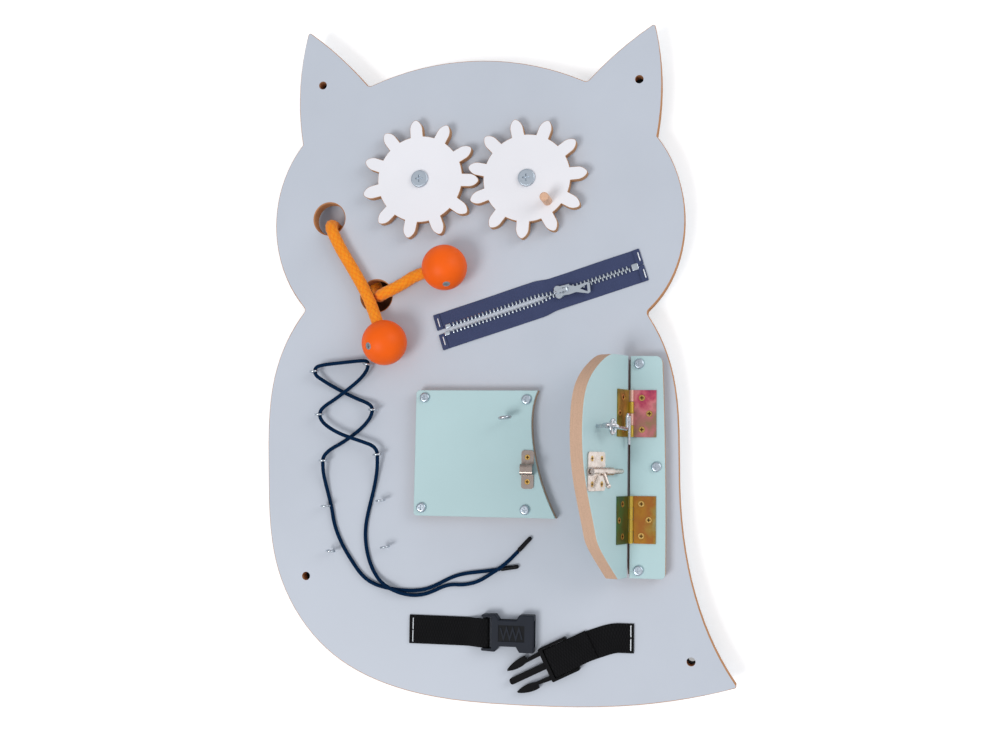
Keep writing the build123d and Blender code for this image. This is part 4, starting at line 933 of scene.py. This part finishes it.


class OWL_OT_painted_boards(bpy.types.Operator):
    """Paints the panel, plate, strip and wing, with raw fibreboard edges and painted shade on the
    panel beside the strip
    """
    bl_idname = "owl.painted_boards"
    bl_label = "Painted boards"

    def execute(self, context):
        paint = context.scene.owl_board.paint
        edge = tuple(paint.board_edge)
        # painted shade: the panel beside the strip's foot is coloured dark, in place of the shadow
        # in the gap under the open wing
        gap_shade = tone(96, 72, 58)
        grey = painted_fibreboard("grey_board", tuple(paint.board), edge)
        low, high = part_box("hinge_strip")
        give(inlaid(grey, gap_shade, (ALONG_X, low.x - GAP_SHADE_WIDTH, low.x),
                    (ALONG_Y, low.y + GAP_SHADE_INSET, high.y - GAP_SHADE_INSET),
                    (ALONG_Z, BOARD_TOP - FACE_DEPTH, BOARD_TOP + FACE_DEPTH)), "board_panel")
        give(painted_fibreboard("mint_board", tuple(paint.mint), tuple(paint.wing_edge),
                                edge_dark=0.6, bevel_painted=True), "square_plate",
             "hinge_strip")
        give(painted_fibreboard("mint_wing", tuple(paint.mint), tuple(paint.wing_edge),
                                on_wing=True, edge_dark=0.88, bevel_painted=True), "wing_flap")
        give(moulded("spacer_rubber", tone(58, 58, 60), roughness=0.75, grain=900, relief=0.0001),
             "spacer_upper_left", "spacer_upper_right", "spacer_lower_left",
             "spacer_lower_right")
        return {"FINISHED"}


class OWL_OT_gears(bpy.types.Operator):
    """Finishes the white gears, their caps and the beech finger peg"""
    bl_idname = "owl.gears"
    bl_label = "Gears"

    def execute(self, context):
        paint = context.scene.owl_board.paint
        give(painted_fibreboard("white_gear", tuple(paint.gear), tuple(paint.gear_edge),
                                paint_roughness=0.36, edge_dark=0.7), "gear_left", "gear_right")
        give(plated("axle_zinc", tone(196, 206, 216), 0.46), "gear_axle_left",
             "gear_axle_right", "gear_washers", "gear_nuts")
        give(beech("beech_peg", tone(236, 190, 158)), "gear_peg")
        return {"FINISHED"}


class OWL_OT_balls(bpy.types.Operator):
    """Lacquers the two balls and plates the screws that pin the rope in them"""
    bl_idname = "owl.balls"
    bl_label = "Balls"

    def execute(self, context):
        paint = context.scene.owl_board.paint
        give(lacquered_ball("orange_lacquer", tuple(paint.ball)), "ball_lower", "ball_upper")
        give(plated("ball_screw_zinc", tone(188, 196, 202), 0.3), "ball_screw_lower",
             "ball_screw_upper")
        return {"FINISHED"}


# ---------------------------------------------------------------- zip
TAPE_LIFT, HEM_LIFT = 0.00005, 0.00012      # air under a tape, and under it and its hem
LAST_TOOTH = 0.0115                         # from the zip's right end
ZIP_STAPLES = ((0.0032, 0.0084), (0.0032, -0.0087), (ZIP_LENGTH - 0.0016, 0.0076),
               (ZIP_LENGTH - 0.0012, -0.0080))


def zip_half_gap(s, settings):
    """Half the gap between the tapes at s: open up to 24 mm before the slider's middle, shut
    from 8 mm before it, and b^2 (3 - 2b) of the way between, as b falls from 1 to 0."""
    share = np.clip((SLIDER_AT - 0.008 - s) / 0.016, 0, 1)
    smooth = share * share * (3 - 2 * share)
    return settings.shut_half + (settings.open_half - settings.shut_half) * smooth


class OWL_OT_zip_tapes(bpy.types.Operator):
    """Lays the two woven tapes, turned back on themselves at both ends"""
    bl_idname = "owl.zip_tapes"
    bl_label = "Zip tapes"

    def execute(self, context):
        settings = context.scene.owl_board.zip
        finish = woven_band("zip_tape", tuple(settings.colour), rib=0.0009, column=0.0007,
                            relief=0.00012, light=1.25)
        for name, sign in (("upper", 1), ("lower", -1)):
            shape = self.tape(settings, sign).moved(zip_matrix())
            made = piece(f"woven_tape_{name}", shape, finish, "board",
                         [f"zip_tape_{name}"], sharp=60)
        return {"FINISHED"}

    def tape(self, settings, sign):
        """Middle line of one layer, from the free end of the first hem, round its fold, along
        the board, and round the second fold. The outer edge lifts in long low waves
        0.35 mm (1 + sin(s / 13 mm + sign)) that die out towards the teeth and the ends."""
        t = settings.tape_thickness
        low, high = TAPE_LIFT + t / 2, HEM_LIFT + 1.5 * t
        turn_r = (high - low) / 2
        angle = np.linspace(0.5, -0.5, 9) * math.pi
        fold = np.stack([-turn_r * np.cos(angle) + turn_r, (low + high) / 2
                         + turn_r * np.sin(angle)], axis=1)
        run = np.linspace(turn_r, ZIP_LENGTH - turn_r, 150)
        hem = np.linspace(settings.hem, turn_r, 6)[:-1]
        start = np.stack([hem, np.full(len(hem), high)], axis=1)
        flat = np.stack([run, np.full(len(run), low)], axis=1)[1:-1]
        other = np.stack([ZIP_LENGTH - fold[::-1, 0], fold[::-1, 1]], axis=1)
        stop = np.stack([ZIP_LENGTH - start[::-1, 0], start[::-1, 1]], axis=1)
        side = np.concatenate([start, fold, flat, other, stop])
        middle = zip_half_gap(side[:, 0], settings) + settings.tape_width / 2
        line = np.stack([side[:, 0], sign * middle, side[:, 1]], axis=1)
        across = np.tile(ALONG_Y, (len(line), 1))

        def wave(length, from_middle):
            outer = np.clip(sign * from_middle / settings.tape_width + 0.5, 0, 1) ** 2
            on_flat = np.clip(np.minimum(length - 0.012, ZIP_LENGTH - length) / 0.02, 0, 1)
            return 0.00035 * (1 + np.sin(length / 0.013 + sign)) * outer * on_flat

        return band(line, across, settings.tape_width, t, columns=14, wave=wave)


class OWL_OT_zip_metal(bpy.types.Operator):
    """Makes the teeth, stops, box and staples, and plates the slider and puller"""
    bl_idname = "owl.zip_metal"
    bl_label = "Zip metal"

    def execute(self, context):
        settings = context.scene.owl_board.zip
        bright = plated("zip_zinc", tone(204, 212, 220), 0.3, spots=0.2)
        place = zip_matrix()
        base = TAPE_LIFT + settings.tape_thickness
        half_tooth = 0.00195
        middle = half_tooth - settings.tooth_out
        rows = (("upper", 1, 0.0156, 0.0103), ("lower", -1, 0.01385, 0.0077))
        stops = []
        for name, sign, first_tooth, stop_at in rows:
            teeth = []
            for i in range(int((ZIP_LENGTH - LAST_TOOTH - first_tooth) / settings.pitch) + 1):
                s = first_tooth + i * settings.pitch
                gap = float(zip_half_gap(np.array(s), settings))
                teeth.append(pebble((s, sign * (gap + middle), base + 0.00075),
                                    (0.00082, half_tooth, 0.0008), power=3.6, rows=5, columns=8))
            piece(f"teeth_{name}", joined(teeth).moved(place), bright, "board",
                  [f"zip_teeth_{name}"])
            stops.append(pebble((stop_at, sign * (settings.open_half + middle), base + 0.0007),
                                (0.0024, 0.0018, 0.0007), power=6, rows=8, columns=16))
        piece("top_stops", joined(stops).moved(place), bright, "board",
              ["zip_top_stops"])
        box = pebble((ZIP_LENGTH - 0.0075, 0, base + 0.00085), (0.0029, 0.0029, 0.0009), power=7,
                     rows=10, columns=24)
        piece("bottom_box", box.moved(place), bright, "board", ["zip_bottom_box"])
        top = HEM_LIFT + 2 * settings.tape_thickness
        staples = [staple((s, across, top), width=0.0074, wire=0.00055)
                   for s, across in ZIP_STAPLES]
        piece("tape_staples", joined(staples).moved(place),
              plated("staple_steel", tone(240, 243, 246), 0.55, spots=0.1), "board",
              ["zip_staples"])
        give(bright, "zip_slider", "zip_puller")
        return {"FINISHED"}


def staple(crown, width, wire):
    """Wire bridge across Y: a line up one 4 mm leg, along the crown and down the other leg. A
    quadratic spline rounds each corner over 0.6 mm of both its sides."""
    x, y, z = crown
    half, leg, bend = width / 2, 0.004, 0.0012
    corners = [(x, y - half, z - leg), (x, y - half, z + wire), (x, y + half, z + wire),
               (x, y + half, z - leg)]
    runs = []
    for a, b in zip(corners, corners[1:]):
        a, b = np.array(a), np.array(b)
        cut = bend / np.linalg.norm(b - a)
        runs += [a + (b - a) * cut, b - (b - a) * cut]
    control = [np.array(corners[0]), runs[1], np.array(corners[1]), runs[2], runs[3],
               np.array(corners[2]), runs[4], np.array(corners[3])]
    return tube(smooth_line(control, 6), wire, 8)


# ---------------------------------------------------------------- screw eyes
LACE_EYES = (             # x, y and the turn of the ring about its shank, degrees
    (-0.1659, -0.0147, 6), (-0.1602, -0.0535, 0), (-0.1554, -0.0948, 0), (-0.1521, -0.1353, 3),
    (-0.1464, -0.1751, -4), (-0.1156, -0.0084, -5), (-0.1098, -0.0490, 0),
    (-0.1046, -0.0887, 6), (-0.1010, -0.1294, 8), (-0.0960, -0.1702, 10),
)


def screw_eye(ring, wire, lift, depth):
    """Wire that comes straight up its shank, bends over and goes once round a ring, from -72
    to 252 degrees."""
    steps = 60
    up = np.linspace(-depth, lift - ring - wire * 0.7, steps)
    shank = np.stack([np.zeros(steps), np.zeros(steps), up], axis=1)
    loop = arc((0, 0, lift), ring, start=-72, end=252, steps=44)
    bend = smooth_line([shank[-1], (0.0, 0, lift - ring), loop[0]], 6)
    line = spaced(np.concatenate([shank[:-1], bend[:-1], loop]), wire / 4)
    return tube(line, wire / 2)


class OWL_OT_screw_eyes(bpy.types.Operator):
    """Bends the ten small screw eyes of the lacing"""
    bl_idname = "owl.screw_eyes"
    bl_label = "Screw eyes"

    def execute(self, context):
        eye = screw_eye(ring=0.0036, wire=0.0018, lift=0.008, depth=0.009)
        eyes = []
        for x, y, turn in LACE_EYES:
            place = (Matrix.Translation((x, y, BOARD_TOP))
                     @ Matrix.Rotation(math.radians(turn), 4, "Z"))
            eyes.append(eye.moved(place))
        piece("bent_eyes", joined(eyes), plated("eye_zinc", tone(206, 214, 222), 0.26), "board",
              ["lacing_eyes"])
        return {"FINISHED"}


# ---------------------------------------------------------------- hinges, latches, bolts
RECESS_SHADE_DEPTH = 0.0002           # painted shade: a screw is darkened from this far under its highest point


class OWL_OT_hinges(bpy.types.Operator):
    """Chromates the four hinge leaves and their pins, and brasses their screws, with painted shade
    in the screws' recesses
    """
    bl_idname = "owl.hinges"
    bl_label = "Hinges"

    def execute(self, context):
        pink, gold = tone(226, 180, 166), tone(206, 176, 74)
        # each leaf's middle, its slopes in x and y, its knuckles' tone and its stops' tones
        leaves = {
            "upper_hinge_fixed_leaf": (
                (0.133, -0.051, 0), (0, -12), pink,
                ((146, 50, 92), (202, 84, 108), (224, 136, 140), (186, 118, 116), (148, 126, 90),
                 (176, 98, 112))),
            "upper_hinge_moving_leaf": (
                (0.117, -0.051, 0), (0, 6), gold,
                ((108, 106, 40), (150, 130, 46), (172, 150, 62), (132, 112, 44), (178, 146, 58))),
            "lower_hinge_fixed_leaf": (
                (0.133, -0.141, 0), (26, 0), gold,
                ((150, 92, 34), (168, 116, 42), (158, 98, 44), (156, 122, 54), (150, 142, 96))),
            "lower_hinge_moving_leaf": (
                (0.117, -0.141, 0), (-20, 8), gold,
                ((84, 84, 38), (72, 92, 46), (92, 98, 46), (78, 116, 62), (66, 100, 76))),
        }
        for name, (middle, across, knuckle, tones) in leaves.items():
            stops = [(k / (len(tones) - 1), tone(*levels)) for k, levels in enumerate(tones)]
            give(chromated(f"{name}_chromate", stops, middle, across, knuckle), name)
        give(plated("pin_zinc", tone(196, 172, 120), 0.35), "upper_hinge_pin", "lower_hinge_pin")
        for node, out in (("strip_hinge_screws", ALONG_Z), ("wing_hinge_screws", WING_FACE),
                          ("bolt_screws", WING_FACE), ("keeper_screws", ALONG_Z)):
            brass = plated(f"{node}_brass", tone(216, 178, 104), 0.34, spots=0.4,
                           tint=tone(176, 130, 66))
            # painted shade in each screw's cross recess and round its head: all but its highest 0.2
            # mm is darkened
            shade_from = top_along(node, out) - RECESS_SHADE_DEPTH
            give(inlaid(brass, tone(84, 58, 28), (out, -1, shade_from)), node)
        return {"FINISHED"}


class OWL_OT_barrel_bolt(bpy.types.Operator):
    """Plates the barrel bolt and its keeper"""
    bl_idname = "owl.barrel_bolt"
    bl_label = "Barrel bolt"

    def execute(self, context):
        give(plated("bolt_nickel", tone(216, 205, 197), 0.28, spots=0.3,
                    tint=tone(184, 166, 154)), "bolt_housing", "bolt_rod")
        give(plated("keeper_nickel", tone(184, 170, 162), 0.24, spots=0.35,
                    tint=tone(146, 130, 120)), "bolt_keeper")
        return {"FINISHED"}


class OWL_OT_cabin_hook(bpy.types.Operator):
    """Plates the cabin hook and both of its eyes"""
    bl_idname = "owl.cabin_hook"
    bl_label = "Cabin hook"

    def execute(self, context):
        give(plated("hook_zinc", tone(200, 208, 216), 0.24, tint=tone(206, 186, 176)),
             "cabin_hook", "hook_eye", "hook_receiver_eye")
        return {"FINISHED"}


class OWL_OT_bolts(bpy.types.Operator):
    """Plates the dome bolts and their nuts"""
    bl_idname = "owl.bolts"
    bl_label = "Bolts"

    def execute(self, context):
        give(plated("bolt_zinc", tone(196, 207, 217), 0.3), "plate_bolts", "strip_bolts",
             "plate_nuts", "strip_nuts")
        return {"FINISHED"}


# ---------------------------------------------------------------- straps and buckle
BUCKLE_LEFT_BAR = (-0.0052, -0.2416, 0.0046)   # x, y and height of the socket's strap bar
BUCKLE_RIGHT_FRONT = (0.0480, -0.2676)
BUCKLE_RIGHT_TURN = math.radians(26.7)
BUCKLE_RIGHT_BAR = (0.00785, 0.00385)          # behind the plug's front, and height
BAR_RADIUS = 0.002
BAR_GAP = 0.00025                              # air between a bar and the webbing round it
STRAP_LIFT = 0.00015                           # air between the board and the webbing
WEBBING_STAPLES = ((-0.0705, -0.2366), (-0.0706, -0.2474), (0.1209, -0.2358), (0.1209, -0.2472))
# painted shade: the socket's recess is coloured darker, as it lies in shadow
SOCKET_RECESS_SHADE = ((ALONG_X, 0.0075, 0.0303), (ALONG_Y, -0.2479, -0.2341),
                 (ALONG_Z, BOARD_TOP + 0.007, BOARD_TOP + 0.0099))


class OWL_OT_webbing(bpy.types.Operator):
    """Lays both straps, staples their ends and turns them round the buckle's bars"""
    bl_idname = "owl.webbing"
    bl_label = "Webbing"

    def execute(self, context):
        settings = context.scene.owl_board.webbing
        finish = woven_band("black_webbing", tuple(settings.colour), rib=0.0024, column=0.0030,
                            relief=0.0004, light=3.0)
        self.left(settings, finish)
        self.right(settings, finish)
        crown = STRAP_LIFT + settings.thickness
        staples = [staple((x, y, BOARD_TOP + crown), width=0.0094, wire=0.0005)
                   for x, y in WEBBING_STAPLES]
        piece("webbing_staples", joined(staples),
              plated("strap_staple_steel", tone(240, 243, 246), 0.55, spots=0.1), "board",
              ["strap_staples"])
        return {"FINISHED"}

    def left(self, settings, finish):
        """Flat from the staples, up over the socket's bar, round it and back underneath."""
        x, y, bar_z = BUCKLE_LEFT_BAR
        lie, wrap = settings.thickness / 2, BAR_RADIUS + BAR_GAP + settings.thickness / 2
        high, low = bar_z + wrap, bar_z - wrap
        corners = [(-0.0740, lie), (-0.0700, lie), (-0.0600, lie), (-0.0480, lie),
                   (x - 0.0240, lie), (x - 0.0150, lie + 0.0003), (x - 0.0080, high - 0.0024),
                   (x - 0.0035, high), (x, high), (x + wrap, high), (x + wrap, low), (x, low),
                   (x - 0.0018, low)]
        side = smooth_line(corners, 8)
        line = np.stack([side[:, 0], np.full(len(side), y),
                         side[:, 1] + BOARD_TOP + STRAP_LIFT], axis=1)
        line = spaced(line, 0.0007)
        across = np.tile(ALONG_Y, (len(line), 1))
        shape = band(line, across, settings.width, settings.thickness)
        made = piece("webbing_left", shape, finish, None,
                     ["strap_left", "strap_left_end"], sharp=180)
        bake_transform(made)

    def right(self, settings, finish):
        """Flat from the staples in a bend, under the plug's bar, round it, and back on top."""
        along = np.array((math.cos(BUCKLE_RIGHT_TURN), math.sin(BUCKLE_RIGHT_TURN)))
        bar = np.array(BUCKLE_RIGHT_FRONT) + along * BUCKLE_RIGHT_BAR[0]
        lie, wrap = settings.thickness / 2, BAR_RADIUS + BAR_GAP + settings.thickness / 2
        high, low = BUCKLE_RIGHT_BAR[1] + wrap, BUCKLE_RIGHT_BAR[1] - wrap
        upper = 1.5 * settings.thickness + 0.0002
        plan = smooth_line([(0.1234, -0.2419), (0.1150, -0.2419), (0.1055, -0.2421),
                            (0.0880, -0.2484), tuple(bar + along * 0.0265),
                            tuple(bar + along * 0.012)], 16)
        flat = np.column_stack([plan, np.full(len(plan), lie)])
        profile = smooth_line([(-0.012, low), (-0.004, low), (0.0, low), (wrap, low),
                               (wrap, high), (0, high), (-0.017, high), (-0.0215, high - 0.0012),
                               (-0.0265, upper + 0.0002), (-0.0310, upper), (-0.0360, upper)],
                              8)[1:]
        loop = np.column_stack([bar - along * profile[:, :1], profile[:, 1]])
        line = np.concatenate([flat, loop])
        line[:, 2] += BOARD_TOP + STRAP_LIFT
        line = spaced(line, 0.0007)
        tangent = np.gradient(plan, axis=0)
        normal = np.column_stack([-tangent[:, 1], tangent[:, 0], np.zeros(len(plan))])
        normal /= np.linalg.norm(normal, axis=1)[:, None]
        flat_length = lengths_along(flat)
        across = picked(normal, flat_length, np.minimum(lengths_along(line), flat_length[-1]))
        shape = band(line, across, settings.width, settings.thickness)
        made = piece("webbing_right", shape, finish, None,
                     ["strap_right", "strap_right_end"], sharp=180)
        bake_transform(made)


class OWL_OT_buckle(bpy.types.Operator):
    """Finishes both halves of the side-release buckle"""
    bl_idname = "owl.buckle"
    bl_label = "Buckle"

    def execute(self, context):
        socket = moulded("socket_plastic", tone(34, 38, 47), roughness=0.42)
        # painted shade in the socket's recess
        give(inlaid(socket, tone(14, 16, 20), *SOCKET_RECESS_SHADE), "buckle_female")
        give(moulded("plug_plastic", tone(8, 8, 10), roughness=0.42, specular=0.07),
             "buckle_male")
        return {"FINISHED"}


# ---------------------------------------------------------------- panel and main
STEPS = (OWL_OT_stage, OWL_OT_pull_rope, OWL_OT_lacing_cord, OWL_OT_painted_boards, OWL_OT_gears,
         OWL_OT_balls, OWL_OT_zip_tapes, OWL_OT_zip_metal, OWL_OT_screw_eyes, OWL_OT_hinges,
         OWL_OT_barrel_bolt, OWL_OT_cabin_hook, OWL_OT_bolts, OWL_OT_webbing, OWL_OT_buckle)


class OWL_PT_board(bpy.types.Panel):
    """Lists the steps that finish the board"""
    bl_idname = "OWL_PT_board"
    bl_label = "Owl Board"
    bl_space_type = "VIEW_3D"
    bl_region_type = "UI"
    bl_category = "Owl Board"

    def draw(self, context):
        for step in STEPS:
            self.layout.operator(step.bl_idname)


CLASSES = (OwlPaint, OwlRope, OwlLace, OwlZip, OwlWebbing, OwlStage, OwlBoard, *STEPS,
           OWL_PT_board)


def register():
    """Makes the settings, the steps and the panel known."""
    for kind in CLASSES:
        bpy.utils.register_class(kind)
    bpy.types.Scene.owl_board = bpy.props.PointerProperty(
        type=OwlBoard, name="Owl board", description="Sizes and colours of the board")


def unregister():
    """Takes them away again."""
    del bpy.types.Scene.owl_board
    for kind in reversed(CLASSES):
        bpy.utils.unregister_class(kind)


def main():
    """Runs every step."""
    register()
    for step in STEPS:
        group, name = step.bl_idname.split(".")
        getattr(getattr(bpy.ops, group), name)()


if __name__ == "__main__":
    main()
